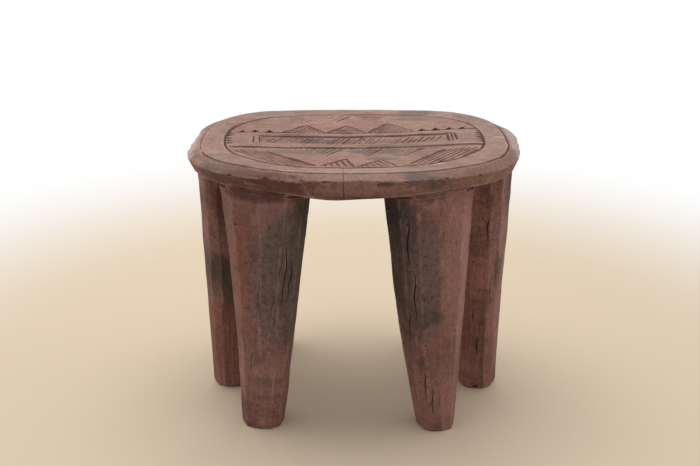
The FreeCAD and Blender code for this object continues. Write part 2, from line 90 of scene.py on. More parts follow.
# Height of the rim's widest edge in the middle, its rise towards the ends and its drop at them.
RIM_HEIGHT, RIM_RISE, RIM_DROP = 308.2, 2.6, 4.8

# The rim's rings as shares of the way: over the bevel, at its widest edge, down its lower face, and on the
# underside a little further in.
BEVEL_SHARES = (0.3, 0.6, 0.85, 0.95)
EDGE_SHARE = 0.03
FACE_SHARES = (0.1, 0.25, 0.4, 0.6, 0.8, 0.93)
UNDER_SHARE = 1.3

GRID_CUTS = 104
DISH_HEIGHT = 313.0
DISH_RADIUS = 3000.0
# The dish rounds off from this x, over this run, by this drop.
END_START, END_RUN, END_DROP = 115.0, 60.0, 4.2
# The underside lies low in the middle, rises towards the ends, and sags a little left of the middle.
UNDER_DROP, UNDER_RISE = 1.5, 5.5
RISE_START, RISE_END = 15.0, 125.0
SAG_X, SAG_WIDTH, SAG_DEPTH = -24.0, 30.0, 2.2
# Hollows that the hand tool left on the top and on the rim's edge: start, reach and height.
TOP_WAVES = ((0.0, 34.0, 0.55), (40.0, 11.0, 0.22))
EDGE_WAVES = ((9.0, 22.0, 0.4), (19.0, 8.0, 0.2))

# Long lines across the seat, from left to right: behind the panel, along it and in front of it.
BACK_LINE = ((-140, 22), (0, 24), (145, 37))
PANEL_BACK = ((-113, 8), (0, 11), (118, 19))
PANEL_FRONT = ((-112, -18), (0, -20), (116, -11))
FRONT_LINE = ((-141, -38), (0, -35), (149, -27))
PANEL_HALF = 107.0
PANEL_SINK = 1.3
# Slanting cuts of the panel: first and last x, and the ranges of run, gap at the ends, width and step.
SLANTS_START, SLANTS_END = -102.0, 93.0
SLANT_RUN, SLANT_GAP, SLANT_WIDTH, SLANT_STEP = (10.0, 12.5), (2.0, 4.0), (2.8, 4.8), (4.8, 7.4)
# Marks across the panel's ends: x and width.
PANEL_ENDS = ((-116, 2.6), (-109, 2.4), (108, 3.2), (112.5, 3.0), (117, 3.6))

# Widths of the knife cuts.
STRONG, MIDDLE, FINE, FAINT = 4.8, 3.8, 3.0, 2.0
# Hatched triangles: left corner, apex, right corner, number of hatches, widths of the sides and of the
# hatches, and which sides are cut.
BOTH_SIDES, RIGHT_SIDE = ("left", "right"), ("right",)
TRIANGLES = (
    ((-85, 23), (-58, 57), (-33, 24), 8, MIDDLE, FINE, BOTH_SIDES),
    ((-33, 24), (-9, 56), (14, 26), 8, MIDDLE, 2.6, BOTH_SIDES),
    ((15, 26), (40, 66), (70, 31), 8, MIDDLE, 3.4, BOTH_SIDES),
    ((-38, -103), (-9, -77), (0, -105), 4, MIDDLE, FINE, BOTH_SIDES),
    ((2, -105), (29, -78), (45, -101), 5, MIDDLE, FINE, BOTH_SIDES),
    ((-66, -39), (-32, -66), (-13, -39), 6, FINE, FAINT, RIGHT_SIDE),
    ((-8, -38), (13, -66), (31, -37), 6, FINE, FAINT, RIGHT_SIDE),
    ((34, -36), (55, -61), (79, -36), 6, FINE, FAINT, RIGHT_SIDE),
    ((-50, 102), (-22, 73), (-2, 103), 4, FINE, 1.2, RIGHT_SIDE),
    ((-2, 103), (15, 78), (44, 104), 6, FAINT, FAINT, RIGHT_SIDE),
)
# Hatched corners of the oval: corner, end of the strong side, far end, number of hatches, widths of the
# side and of the hatches.
CORNERS = (
    ((-97, -53), (-40, -102), (-138, -50), 5, STRONG, 2.6),
    ((102, -43), (59, -96), (148, -38), 6, STRONG, FINE),
)

# Notches along the back line: x, width and length.
NOTCHES = (
    (-131, 11, 9), (-116.5, 15, 12), (-99.5, 14, 11),
    (80, 14, 12), (96, 14, 12), (112, 13, 11), (128, 13, 10),
)
# Ticks at the oval's left and right end: x, y and length.
LEFT_TICKS = ((-147.5, 17, 10), (-147, 8.5, 10), (-146, -3.5, 8), (-145.5, -12.5, 8), (-144.5, -23.5, 8))
RIGHT_TICKS = ((148, 19, 10), (148, 10, 10), (148, 2, 10), (148, -6, 10), (148, -14, 10))

# Legs: turn of the outward face from +Y, then at foot, knee and top the width, the shift sideways
# from the foot, and the place of the outer face out from the foot's centre.
Leg = namedtuple("Leg", "turn width shift outward seed")
LEGS = {
    "front_left": Leg(163.0, (47.0, 70.0, 97.0), (0.0, -6.0, -8.0), (21.0, 24.0, 26.5), 11),
    "front_right": Leg(-163.0, (40.0, 73.0, 94.0), (0.0, 6.0, 8.5), (22.0, 21.5, 22.5), 23),
    "left": Leg(90.0, (42.0, 66.0, 88.0), (0.0, 0.0, 0.0), (20.5, 24.5, 28.0), 37),
    "right": Leg(-90.0, (46.0, 66.0, 88.0), (0.0, 0.0, 0.0), (21.0, 24.0, 27.0), 41),
    "back_left": Leg(17.0, (44.0, 70.0, 95.0), (0.0, 5.0, 9.0), (21.0, 23.0, 25.0), 53),
    "back_right": Leg(-17.0, (44.0, 70.0, 95.0), (0.0, -5.0, -9.0), (21.0, 23.0, 25.0), 67),
}
# Drying checks in the legs: direction on the leg in degrees, low end, high end and radius.
LEG_CRACKS = {
    "front_left": (
        (135, 150, 238, 0.9), (127, 185, 232, 0.6), (147, 168, 216, 1.05), (116, 138, 182, 0.6),
        (92, 150, 205, 0.5), (74, 60, 118, 0.5),
    ),
    "front_right": (
        (40, 202, 266, 1.3), (46, 138, 204, 1.05), (30, 114, 152, 0.9), (66, 20, 62, 0.8), (52, 40, 84, 0.8),
        (84, 24, 50, 0.5),
    ),
    "right": ((-6, 46, 76, 1.15), (25, 110, 160, 0.6), (12, 205, 232, 1.0), (-18, 92, 112, 0.8)),
    "left": ((160, 60, 120, 0.5), (176, 190, 240, 0.4)),
}
# Gouges and chips in the legs: direction in degrees, height, half width, half height and depth.
LEG_NICKS = {
    "front_right": (
        (-3, 266, 4.0, 1.2, 0.9), (2, 251, 4.5, 1.0, 1.0), (-4, 236, 4.0, 1.4, 0.8), (1, 219, 5.0, 1.1, 1.1),
        (-2, 203, 4.0, 1.2, 0.9), (3, 186, 4.0, 1.0, 0.8), (142, 284, 7.0, 0.9, 0.8),
        (132, 280, 6.0, 0.8, 0.7), (40, 255, 1.2, 3.5, 0.9), (62, 112, 1.6, 2.0, 0.8),
    ),
    "front_left": ((172, 262, 2.0, 3.0, 0.8), (178, 226, 1.6, 4.0, 0.7), (60, 250, 2.5, 1.5, 0.7)),
    "right": ((-8, 2, 3.0, 4.0, 1.8), (2, 228, 1.2, 3.0, 0.9), (30, 262, 1.6, 1.6, 0.8)),
}
# Drying checks over the rim's front: a radius, then places as an x and how far down, where -1 is the
# top's edge, 0 the rim's widest edge and 1 the underside.
RIM_CRACKS = (
    (1.20, ((-12.5, -2.0), (-12.0, -1.0), (-11.7, 0.0), (-12.1, 0.4), (-11.3, 0.75), (-11.0, 1.05))),
    (0.75, ((-67.5, -1.4), (-68.0, -0.8), (-69.5, -0.4), (-70.5, 0.0), (-72.0, 0.2))),
    (0.80, ((-80.0, 0.08), (-86.0, 0.3), (-87.5, 0.5), (-91.0, 0.65), (-95.5, 1.05))),
    (0.55, ((77.0, -0.6), (81.0, -0.2), (84.0, 0.05), (90.0, 0.35))),
    (0.60, ((-57.0, 0.05), (-54.0, 0.3), (-53.0, 0.5), (-49.0, 0.7))),
    (0.45, ((22.0, 0.3), (23.0, 0.6), (22.5, 1.0))),
    (0.50, ((-118.0, 0.3), (-113.0, 0.5), (-104.0, 0.55))),
)
# Chips in the rim's edge: how many, and the ranges of place up or down, half width, half height and depth.
RIM_CHIPS = 34
CHIP_RISE, CHIP_ACROSS, CHIP_ALONG, CHIP_DEPTH = (-2.0, 1.5), (3.0, 9.0), (1.0, 2.4), (0.5, 1.1)

# A leg's sections: heights of foot, knee and top, depths there, fullness and points around.
LEG_STATIONS = (0.0, 150.0, UNDERSIDE)
LEG_DEPTH = (42.0, 56.0, 70.0)
LEG_FULLNESS = 2.3
LEG_RING = 120
# Heights of the rings at the worn foot, then the next height and the step upwards.
FOOT_LEVELS = (0.0, 0.3, 0.9, 1.8, 3.0, 4.5, 6.5)
FIRST_LEVEL, LEVEL_STEP = 9.0, 3.2
# Tool marks on a leg: share of their height, how fast they change around it, and their length.
LEG_MARKS = ((0.7, 5.0, 42.0), (0.3, 14.0, 18.0))
# Facets: how crisp the arrises between them are, how far they lie in, how uneven they and their cuts are,
# and how squarely a facet has to face a direction to count there.
ARRIS_CRISPNESS = 420.0
FACET_SHARE, FACET_WAVE, CUT_WAVE, FACET_LIMIT = 0.985, 0.012, 0.012, 0.3
# Short adze cuts of a facet: length, slope and number of tones.
CUT_LENGTH, CUT_SLOPE, CUT_TONES = 62.0, 36.0, 29
# A leg's shoulder: how far down it flares and by how much, and the groove where it meets the rim.
FLARE_RUN, FLARE = 18.0, 2.6
JOINT_GROOVE = 3.0
GROOVE_DEPTH, GROOVE_WAVE = 2.0, 1.4
# A leg's top keeps inside the underside's outline, and bends with the underside above this height.
INSET_RUN, INSET_SHARE = 14.0, 0.995
BEND_START = 200.0
# Drying checks scattered over a leg, as ranges of low end, length, lean and radius.
CHECK_LOW, CHECK_LENGTH, CHECK_LEAN, CHECK_RADIUS = (20.0, 190.0), (12.0, 60.0), (-0.15, 0.15), (0.3, 0.5)
# Gouges scattered over a leg, as ranges of height, half width, half height and depth.
NICK_RANGES = ((8.0, 275.0), (0.9, 2.2), (1.0, 5.0), (0.4, 0.8))
TENON_RADIUS = 18.0
TENON_LENGTH = 15.0
SOCKET_PLAY = 0.1

# Depth of a cut that is full of dirt, edge angle in radians that is fully rubbed and given a painted
# highlight, and angle in degrees above which an edge stays crisp.
SEAT_CUT, SEAT_EDGE, SEAT_CREASE = 2.1, 0.9, 28.0
LEG_CUT, LEG_EDGE, LEG_CREASE = 0.8, 0.3, 35.0


# Outlines and surfaces of the seat

def outline_place(outline, turn):
    """Point of an outline in the direction turn, counted from +X."""
    cosine, sine = math.cos(turn), math.sin(turn)
    full = outline.fullness
    reach = (abs(cosine) ** full + abs(sine) ** full) ** (-1.0 / full)
    depth = outline.back if sine > 0 else outline.front
    return outline.half_length * reach * cosine, depth * reach * sine


def outline_turn(outline, x, y):
    """Direction of a point, counted as outline_place counts it."""
    depth = outline.back if y > 0 else outline.front
    return math.atan2(y / depth, x / outline.half_length)


def outline_share(outline, x, y):
    """How far out a point lies, 1 on the outline."""
    edge_x, edge_y = outline_place(outline, outline_turn(outline, x, y))
    return math.hypot(x, y) / math.hypot(edge_x, edge_y)


def blend_outlines(one, other, share):
    """Outline part of the way from one to the other."""
    return Outline(*(a + (b - a) * share for a, b in zip(one, other)))


def clamp(value):
    return min(max(value, 0.0), 1.0)


def smooth_step(value, low, high):
    share = clamp((value - low) / (high - low))
    return share * share * (3.0 - 2.0 * share)


def tool_wave(x, y, z, reach, height):
    """Slow uneven wave that a hand tool leaves."""
    return height * noise.noise(Vector((x, y, z)) / reach)


def dish_height(x):
    """Height of the dished top without tool marks; it rounds off towards the seat's ends."""
    return DISH_HEIGHT + x * x / (2 * DISH_RADIUS) - END_DROP * clamp((abs(x) - END_START) / END_RUN) ** 2


def underside(x):
    """Height of the seat's underside, which follows the dish and sags a little."""
    sag = SAG_DEPTH * math.exp(-((x - SAG_X) / SAG_WIDTH) ** 2)
    return UNDERSIDE - UNDER_DROP - sag + UNDER_RISE * smooth_step(abs(x), RISE_START, RISE_END)


def top_height(x, y):
    """Height of the dished top, with the hollows of the hand tool."""
    height = dish_height(x)
    for wave in TOP_WAVES:
        height += tool_wave(x, y, *wave)
    return height


def rim_height(x):
    """Height of the rim's widest edge, a little lower at the seat's ends."""
    share = (x / RIM_EDGE.half_length) ** 2
    return RIM_HEIGHT + RIM_RISE * share - RIM_DROP * share ** 2


def rim_wave(turn):
    """How far the hand-cut rim strays from its outline: slow waves, swells and short flats."""
    slow = 0.0
    for height, count, start in RIM_WAVES:
        slow += height * math.sin(count * turn + start)
    for angle, width, height in RIM_SWELLS:
        away = (math.degrees(turn) - angle + 180.0) % 360.0 - 180.0
        slow += height * math.exp(-(away / width) ** 2)
    step = turn * RIM_FLATS / math.tau + 0.35 * math.sin(4 * turn)
    flat = 4.0 * (step - math.floor(step) - 0.5) ** 2 - 0.5
    return slow + FLAT_HEIGHT * flat


def strayed(x, y):
    """Plan place moved as the hand-cut rim strays from its outline; places well inside stay."""
    strength = clamp((outline_share(RIM_EDGE, x, y) - STRAY_START) / STRAY_RUN)
    stray = 1.0 + strength * rim_wave(outline_turn(RIM_EDGE, x, y)) / MEAN_REACH
    return x * stray, y * stray


def line_y(line, x):
    """Depth on the plan of one of the long lines."""
    (left_x, left_y), (mid_x, mid_y), (right_x, right_y) = line
    if x < mid_x:
        return left_y + (mid_y - left_y) * (x - left_x) / (mid_x - left_x)
    return mid_y + (right_y - mid_y) * (x - mid_x) / (right_x - mid_x)


def in_oval(x, y):
    """Share of the way out to the incised oval."""
    turned = Matrix.Rotation(-OVAL_TILT, 2) @ Vector((x, y))
    return outline_share(CARVED_OVAL, turned.x, turned.y)


# Meshes and cuts shared by the pieces

def open_edges(bm):
    return [edge for edge in bm.edges if edge.is_boundary]


def made_verts(made):
    return [item for item in made["geom"] if isinstance(item, bmesh.types.BMVert)]


def made_edges(made):
    return [item for item in made["geom"] if isinstance(item, bmesh.types.BMEdge)]


def link_object(name, data):
    """Object that carries some data, linked to the scene."""
    item = bpy.data.objects.new(name, data)
    bpy.context.scene.collection.objects.link(item)
    return item


def add_object(bm, name):
    """Object of a bmesh in millimetres, scaled to metres."""
    bmesh.ops.recalc_face_normals(bm, faces=bm.faces)
    bmesh.ops.scale(bm, vec=(METRE, METRE, METRE), verts=bm.verts)
    mesh = bpy.data.meshes.new(name)
    bm.to_mesh(mesh)
    bm.free()
    return link_object(name, mesh)


def final_mesh(carrier):
    """Mesh of an object as its modifiers or its curve's bevel make it."""
    bpy.context.view_layer.update()
    return bpy.data.meshes.new_from_object(carrier.evaluated_get(bpy.context.evaluated_depsgraph_get()))


def cut_away(piece, cutter):
    """Take the cutter's form out of the piece."""
    modifier = piece.modifiers.new("cut", "BOOLEAN")
    modifier.operation = "DIFFERENCE"
    modifier.object = cutter
    modifier.solver = "EXACT"
    modifier.use_self = True
    carved = final_mesh(piece)
    piece.modifiers.clear()
    blank = piece.data
    carved.name = blank.name + "_carved"
    piece.data = carved
    bpy.data.meshes.remove(blank)
    bpy.data.objects.remove(cutter)


def mark_surface(piece, blank_tree, full_cut, full_edge, sunk=lambda x, y: 0.0):
    """Store at each vertex how deep it is cut below any sunk field, and how sharp its edge is."""
    bm = bmesh.new()
    bm.from_mesh(piece.data)
    cut_layer = bm.verts.layers.float.new("cut")
    wear_and_highlight_layer = bm.verts.layers.float.new("wear")
    for vert in bm.verts:
        depth = blank_tree.find_nearest(vert.co)[3] / METRE
        depth -= sunk(vert.co.x / METRE, vert.co.y / METRE)
        vert[cut_layer] = clamp(depth / full_cut)
        # Edge sharpness drives both the rubbed wear and the painted highlight along edges.
        sharp = max((edge.calc_face_angle_signed(0.0) for edge in vert.link_edges), default=0.0)
        vert[wear_and_highlight_layer] = clamp(sharp / full_edge)
    bm.to_mesh(piece.data)
    bm.free()


def surface_tree(piece):
    """Search tree of a piece's surface before it is cut."""
    bm = bmesh.new()
    bm.from_mesh(piece.data)
    tree = BVHTree.FromBMesh(bm)
    bm.free()
    return tree


def shade(piece, angle):
    """Smooth faces, with edges sharper than an angle kept crisp."""
    piece.data.shade_smooth()
    piece.data.set_sharp_from_angle(angle=math.radians(angle))


def new_curve(name, dimensions):
    data = bpy.data.curves.new(name, "CURVE")
    data.dimensions = dimensions
    return data


def add_spline(data, path, closed=False):
    """Straight-sided spline along a path, which is a list of places and radii."""
    spline = data.splines.new("POLY")
    spline.points.add(len(path) - 1)
    for point, (place, radius) in zip(spline.points, path):
        point.co = (*place, 1.0)
        point.radius = radius
    spline.use_cyclic_u = closed


def curve_mesh(data):
    """Mesh of a curve's bevel, with closed ends."""
    data.use_fill_caps = True
    carrier = link_object(data.name, data)
    mesh = final_mesh(carrier)
    bpy.data.objects.remove(carrier)
    return mesh


def crack_mesh(paths):
    """Mesh of thin round cuts along paths."""
    data = new_curve("cracks", "3D")
    data.bevel_depth = 1.0
    data.bevel_resolution = 1
    for path in paths:
        add_spline(data, path)
    return curve_mesh(data)


# The seat's blank

def square_to_disc(u, v):
    """Direction and share of the reach for a point of the square grid from -1 to 1."""
    share = max(abs(u), abs(v))
    if share == 0.0:
        return 0.0, 0.0
    eighth = math.pi / 4
    if abs(u) >= abs(v):
        turn = eighth * v / u if u > 0 else math.pi + eighth * v / u
    else:
        turn = 2 * eighth - eighth * u / v if v > 0 else -2 * eighth - eighth * u / v
    return turn, share


def add_disc(bm, outline, height):
    """Grid shaped to an outline, its heights from a function of x and y."""
    made = bmesh.ops.create_grid(bm, x_segments=GRID_CUTS, y_segments=GRID_CUTS, size=1.0)
    for vert in made["verts"]:
        turn, share = square_to_disc(vert.co.x, vert.co.y)
        x, y = outline_place(outline, turn)
        x, y = x * share, y * share
        vert.co = (x, y, height(x, y))


def rim_rings():
    """Rings from the top edge, over the bevel and the lower face, to the underside."""
    rings = []
    for share in BEVEL_SHARES:
        rings.append((blend_outlines(TOP_EDGE, RIM_EDGE, share), "bevel", share))
    rings.append((RIM_EDGE, "face", EDGE_SHARE))
    for share in FACE_SHARES:
        rings.append((blend_outlines(RIM_EDGE, UNDER_EDGE, share), "face", share))
    rings.append((blend_outlines(RIM_EDGE, UNDER_EDGE, UNDER_SHARE), "face", 1.0))
    return rings


def ring_height(kind, share, x, y, turn):
    """Height of a rim ring at a point."""
    edge = rim_height(x) + 0.5 * math.sin(4 * turn + 1.1)
    for wave in EDGE_WAVES:
        edge += tool_wave(x, y, *wave)
    if kind == "bevel":
        top = dish_height(x)
        return top + (edge - top) * share
    return edge + (underside(x) - edge) * share


def seat_blank():
    """Seat slab before carving: dished top, bevel, slanted rim and slightly bowed underside."""
    bm = bmesh.new()
    add_disc(bm, TOP_EDGE, top_height)
    last = TOP_EDGE
    edges = open_edges(bm)
    for outline, kind, share in rim_rings():
        made = bmesh.ops.extrude_edge_only(bm, edges=edges)
        for vert in made_verts(made):
            turn = outline_turn(last, vert.co.x, vert.co.y)
            x, y = outline_place(outline, turn)
            vert.co = (x, y, ring_height(kind, share, x, y, turn))
        edges = [edge for edge in made_edges(made) if edge.is_boundary]
        last = outline
    add_disc(bm, last, lambda x, y: underside(x))
    bmesh.ops.remove_doubles(bm, verts=bm.verts, dist=0.05)
    for vert in bm.verts:
        vert.co.x, vert.co.y = strayed(vert.co.x, vert.co.y)
    return bm


# The carving of the seat

Stroke = namedtuple("Stroke", "points width closed")
# The oval is cut thin, and wider around one place: where, how far around it and by how much.
HEAVY_PLACE = (-134.0, 48.0)
THIN_SHARE, HEAVY_SHARE, HEAVY_REACH = 0.85, 0.75, 45.0
# Width at the ends of an open stroke, as a share of its width.
STROKE_END = 0.45


def hand_sway(x, y):
    """Factor by which the hand strayed from an outline."""
    return 1.0 + tool_wave(x, y, 70.0, 26.0, 0.8) / 150.0


def closed_stroke(outline, tilt, width, steps=150):
    """Line incised all the way round along an outline."""
    points = []
    for step in range(steps):
        x, y = outline_place(outline, math.tau * step / steps)
        turned = Matrix.Rotation(tilt, 2) @ Vector((x, y))
        points.append(turned * hand_sway(x, y))
    return Stroke(points, width, True)


def arc_stroke(outline, start, end, width, steps=90):
    """Line incised along part of an outline, between two directions in degrees."""
    points = []
    for step in range(steps + 1):
        x, y = outline_place(outline, math.radians(start + (end - start) * step / steps))
        points.append(Vector((x, y)) * hand_sway(x, y))
    return Stroke(points, width, False)


def line_stroke(places, width, spacing=6.0):
    """Hand-cut line through a few places, a little unsteady."""
    points = []
    for start, end in zip(places, places[1:]):
        start, end = Vector(start), Vector(end)
        steps = max(2, round((end - start).length / spacing))
        points += [start.lerp(end, step / steps) for step in range(steps)]
    points.append(Vector(places[-1]))
    across = (Vector(places[-1]) - Vector(places[0])).orthogonal().normalized()
    swayed = []
    for point in points:
        swayed.append(point + across * tool_wave(point.x, point.y, 33.0, 17.0, 0.5))
    return Stroke(swayed, width, False)


def hatched_triangle(left, apex, right, hatches, side_width, hatch_width, sides):
    """Triangle of two cut sides, filled with cuts that run along its right side."""
    left, apex, right = Vector(left), Vector(apex), Vector(right)
    strokes = []
    if "left" in sides:
        strokes.append(line_stroke((left, apex), side_width))
    if "right" in sides:
        strokes.append(line_stroke((apex, right), side_width))
    for step in range(1, hatches + 1):
        share = step / (hatches + 1)
        strokes.append(line_stroke((left.lerp(apex, share), left.lerp(right, share)), hatch_width))
    return strokes


def hatched_corner(corner, end, far, hatches, side_width, hatch_width):
    """Corner of the oval filled with cuts along one strong side, each running out at the oval."""
    corner, end, far = Vector(corner), Vector(end), Vector(far)
    along = end - corner
    strokes = [line_stroke((corner, end), side_width)]
    for step in range(1, hatches + 1):
        start = corner.lerp(far, step / (hatches + 0.4))
        share = 1.0
        while share > 0.1 and in_oval(*(start + along * share)) > 0.985:
            share -= 0.02
        strokes.append(line_stroke((start, start + along * share), hatch_width))
    return strokes


def pattern_strokes():
    """Every knife stroke of the seat's pattern, as plan places."""
    strokes = [
        closed_stroke(CARVED_OVAL, OVAL_TILT, MIDDLE),
        arc_stroke(TOP_EDGE, 204.0, 392.0, FINE),
        arc_stroke(TOP_EDGE, 128.0, 199.0, 1.7),
        line_stroke(BACK_LINE, FINE),
        line_stroke(PANEL_BACK, STRONG),
        line_stroke(PANEL_FRONT, MIDDLE),
        line_stroke(FRONT_LINE, 6.6),
    ]
    for x, width in PANEL_ENDS:
        strokes.append(line_stroke(((x, line_y(PANEL_BACK, x)), (x + 1, line_y(PANEL_FRONT, x))), width))
    strokes.append(line_stroke(((-117, -17), (-112.5, -20)), FAINT, 2.0))
    strokes.append(line_stroke(((-109, -17), (-104, -15)), FAINT, 2.0))
    strokes.append(line_stroke(((-121, 15), (-60, 16), (-34, 16.5)), 1.5))
    for triangle in TRIANGLES:
        strokes += hatched_triangle(*triangle)
    for corner in CORNERS:
        strokes += hatched_corner(*corner)
    return strokes + panel_strokes()


def panel_strokes():
    """Slanting cuts side by side along the panel, like the turns of a rope."""
    draw = random.Random(5)
    strokes = []
    x = SLANTS_START
    while x < SLANTS_END:
        run = draw.uniform(*SLANT_RUN)
        low = (x, line_y(PANEL_FRONT, x) + draw.uniform(*SLANT_GAP))
        high = (x + run, line_y(PANEL_BACK, x + run) - draw.uniform(*SLANT_GAP))
        strokes.append(line_stroke((low, high), draw.uniform(*SLANT_WIDTH), 5.0))
        x += draw.uniform(*SLANT_STEP)
    return strokes


def knife_profile(depth):
    """Section of a knife cut one unit wide: a V that opens above the surface."""
    data = new_curve("knife_profile", "2D")
    lift = 0.6
    half_width = 0.5 * (1.0 + lift / depth)
    corners = ((-half_width, lift, 0.0), (half_width, lift, 0.0), (0.0, -depth, 0.0))
    add_spline(data, [(corner, 1.0) for corner in corners], True)
    return link_object("knife_profile", data)


def cut_size(stroke, step):
    """Cut's width at a point: it runs out at the ends of an open stroke and wavers on the way."""
    point = stroke.points[step]
    size = stroke.width * (1.0 + tool_wave(point.x, point.y, 120.0, 11.0, 0.3))
    if stroke.closed:
        away = (point - Vector(HEAVY_PLACE)).length
        size *= THIN_SHARE + HEAVY_SHARE * math.exp(-(away / HEAVY_REACH) ** 2)
    if not stroke.closed and step in (0, len(stroke.points) - 1):
        return STROKE_END * size
    return size


def stroke_mesh(strokes, width, depth):
    """Mesh of every cut's wedge."""
    profile = knife_profile(depth)
    data = new_curve("knife_strokes", "3D")
    data.twist_mode = "Z_UP"
    data.bevel_mode = "OBJECT"
    data.bevel_object = profile
    for stroke in strokes:
        path = []
        for step, (x, y) in enumerate(stroke.points):
            path.append(((x, y, top_height(x, y)), width * cut_size(stroke, step)))
        add_spline(data, path, stroke.closed)
    mesh = curve_mesh(data)
    bpy.data.objects.remove(profile)
    return mesh


def add_chip(bm, place, width, length, depth, turn, floor):
    """Three-sided chip cut: its base lies at place and its point is length away, turned from +Y."""
    made = bmesh.ops.create_cone(bm, segments=3, radius1=1.0, radius2=1.0, depth=1.0, cap_ends=True)
    verts = made["verts"]
    low_y = min(vert.co.y for vert in verts)
    high_y = max(vert.co.y for vert in verts)
    lift = 0.8
    for vert in verts:
        across = vert.co.x * width / math.sqrt(3)
        along = (vert.co.y - low_y) / (high_y - low_y) * length
        if vert.co.z > 0:
            vert.co = (across, along, lift)
        else:
            vert.co = (across * floor, (1 - floor) * length / 3 + along * floor, -depth)
    bmesh.ops.rotate(bm, verts=verts, cent=(0, 0, 0), matrix=Matrix.Rotation(turn, 3, "Z"))
    bmesh.ops.translate(bm, verts=verts, vec=(place[0], place[1], top_height(*place)))


def add_panel(bm):
    """Sunk floor of the middle panel, as a bent plate to cut away."""
    made = bmesh.ops.create_grid(bm, x_segments=36, y_segments=4, size=1.0)
    lift = 3.0
    for vert in made["verts"]:
        x = vert.co.x * PANEL_HALF
        share = (vert.co.y + 1) / 2
        y = line_y(PANEL_FRONT, x) + (line_y(PANEL_BACK, x) - line_y(PANEL_FRONT, x)) * share
        vert.co = (x, y, top_height(x, y) - PANEL_SINK)
    faces = list({face for vert in made["verts"] for face in vert.link_faces})
    raised = bmesh.ops.extrude_face_region(bm, geom=faces)
    bmesh.ops.translate(bm, verts=made_verts(raised), vec=(0, 0, lift))


def add_end_ticks(bm):
    """Short tapering chips that point inwards from both ends of the oval."""
    for ticks, width, depth, turn, floor in (
        (LEFT_TICKS, 7.4, 4.0, -math.pi / 2, 0.85),
        (RIGHT_TICKS, 6.6, 3.6, math.pi / 2, 0.8),
    ):
        for x, y, length in ticks:
            add_chip(bm, (x, y), width, length, depth, turn, floor)


def add_notches(bm):
    """Three-sided notches along the back line."""
    for x, width, length in NOTCHES:
        add_chip(bm, (x, line_y(BACK_LINE, x) - 1.0), width, length, 4.0, 0.0, 0.8)


def panel_sink(x, y):
    """How deep the panel's floor lies under the seat's top at a place."""
    inside = abs(x) < PANEL_HALF + 1.0 and line_y(PANEL_FRONT, x) < y < line_y(PANEL_BACK, x)
    return 0.7 * PANEL_SINK if inside else 0.0


def add_sockets(bm):
    """Blind round sockets for the legs' tenons, as plugs to cut away."""
    depth = TENON_LENGTH + 5 * SOCKET_PLAY
    below = 4.0
    for name in LEGS:
        x, y = tenon_place(name)
        made = bmesh.ops.create_cone(
            bm, segments=48, radius1=TENON_RADIUS + SOCKET_PLAY, radius2=TENON_RADIUS + SOCKET_PLAY,
            depth=depth + below, cap_ends=True,
        )
        bmesh.ops.translate(bm, verts=made["verts"], vec=(x, y, UNDERSIDE + (depth - below) / 2))


def front_y(outline, x):
    """Depth on the plan of an outline's front at an x."""
    share = 1.0 - (abs(x) / outline.half_length) ** outline.fullness
    return -outline.front * share ** (1.0 / outline.fullness)


def rim_place(x, down):
    """Point on the seat's front: -1 is the top's edge, 0 the rim's widest edge and 1 the underside."""
    if down < -1.0:
        y = front_y(TOP_EDGE, x) - 14.0 * (1.0 + down)
        return Vector((x, y, top_height(x, y)))
    if down < 0.0:
        outline = blend_outlines(TOP_EDGE, RIM_EDGE, 1.0 + down)
        height = dish_height(x) + (rim_height(x) - dish_height(x)) * (1.0 + down)
    else:
        outline = blend_outlines(RIM_EDGE, UNDER_EDGE, down)
        height = rim_height(x) + (underside(x) - rim_height(x)) * down
    return Vector((*strayed(x, front_y(outline, x)), height))


def rim_cracks():
    """Drying checks that run over the rim's front: places and radii."""
    paths = []
    for radius, places in RIM_CRACKS:
        path = []
        for step, (x, down) in enumerate(places):
            at_end = step in (0, len(places) - 1) and down < 0.95
            path.append((rim_place(x, down), (0.3 if at_end else 1.0) * radius))
        paths.append(path)
    return paths


def add_dent(bm, place, out, across, along, depth):
    """Flattened ball that cuts a shallow dent: half its width, half its height and its depth."""
    thick = 1.6
    made = bmesh.ops.create_icosphere(bm, subdivisions=2, radius=1.0)
    bmesh.ops.scale(bm, verts=made["verts"], vec=(thick, across, along))
    spin = Matrix.Rotation(math.atan2(out.y, out.x), 3, "Z")
    bmesh.ops.rotate(bm, verts=made["verts"], cent=(0, 0, 0), matrix=spin)
    bmesh.ops.translate(bm, verts=made["verts"], vec=place + out * (thick - depth))


def add_rim_chips(bm):
    """Small chips knocked out of the rim's widest edge."""
    draw = random.Random(31)
    for number in range(RIM_CHIPS):
        turn = math.tau * (number + draw.uniform(-0.4, 0.4)) / RIM_CHIPS
        x, y = outline_place(RIM_EDGE, turn)
        place = Vector((*strayed(x, y), rim_height(x) + draw.uniform(*CHIP_RISE)))
        out = Vector((place.x, place.y, 0.0)).normalized()
        size = [draw.uniform(*limits) for limits in (CHIP_ACROSS, CHIP_ALONG, CHIP_DEPTH)]
        add_dent(bm, place, out, *size)


def carving_cutter(seat_settings):
    """All cuts of the seat as one cutter."""
    bm = bmesh.new()
    strokes = stroke_mesh(pattern_strokes(), seat_settings.knife_width, seat_settings.knife_depth)
    bm.from_mesh(strokes)
    bm.from_mesh(crack_mesh(rim_cracks()))
    bmesh.ops.remove_doubles(bm, verts=bm.verts, dist=CAP_GAP)
    add_panel(bm)
    add_notches(bm)
    add_end_ticks(bm)
    add_rim_chips(bm)
    add_sockets(bm)
    return bm


def mark_field(piece):
    """Store at each vertex of the seat whether it is inside the incised oval."""
    field = piece.data.attributes.new("field", "FLOAT", "POINT")
    for vert, value in zip(piece.data.vertices, field.data):
        x, y = vert.co.x / METRE, vert.co.y / METRE
        on_top = vert.co.z / METRE > DISH_HEIGHT - 8.0
        value.value = 1.0 if on_top and in_oval(x, y) < 1.0 else 0.0


# The legs

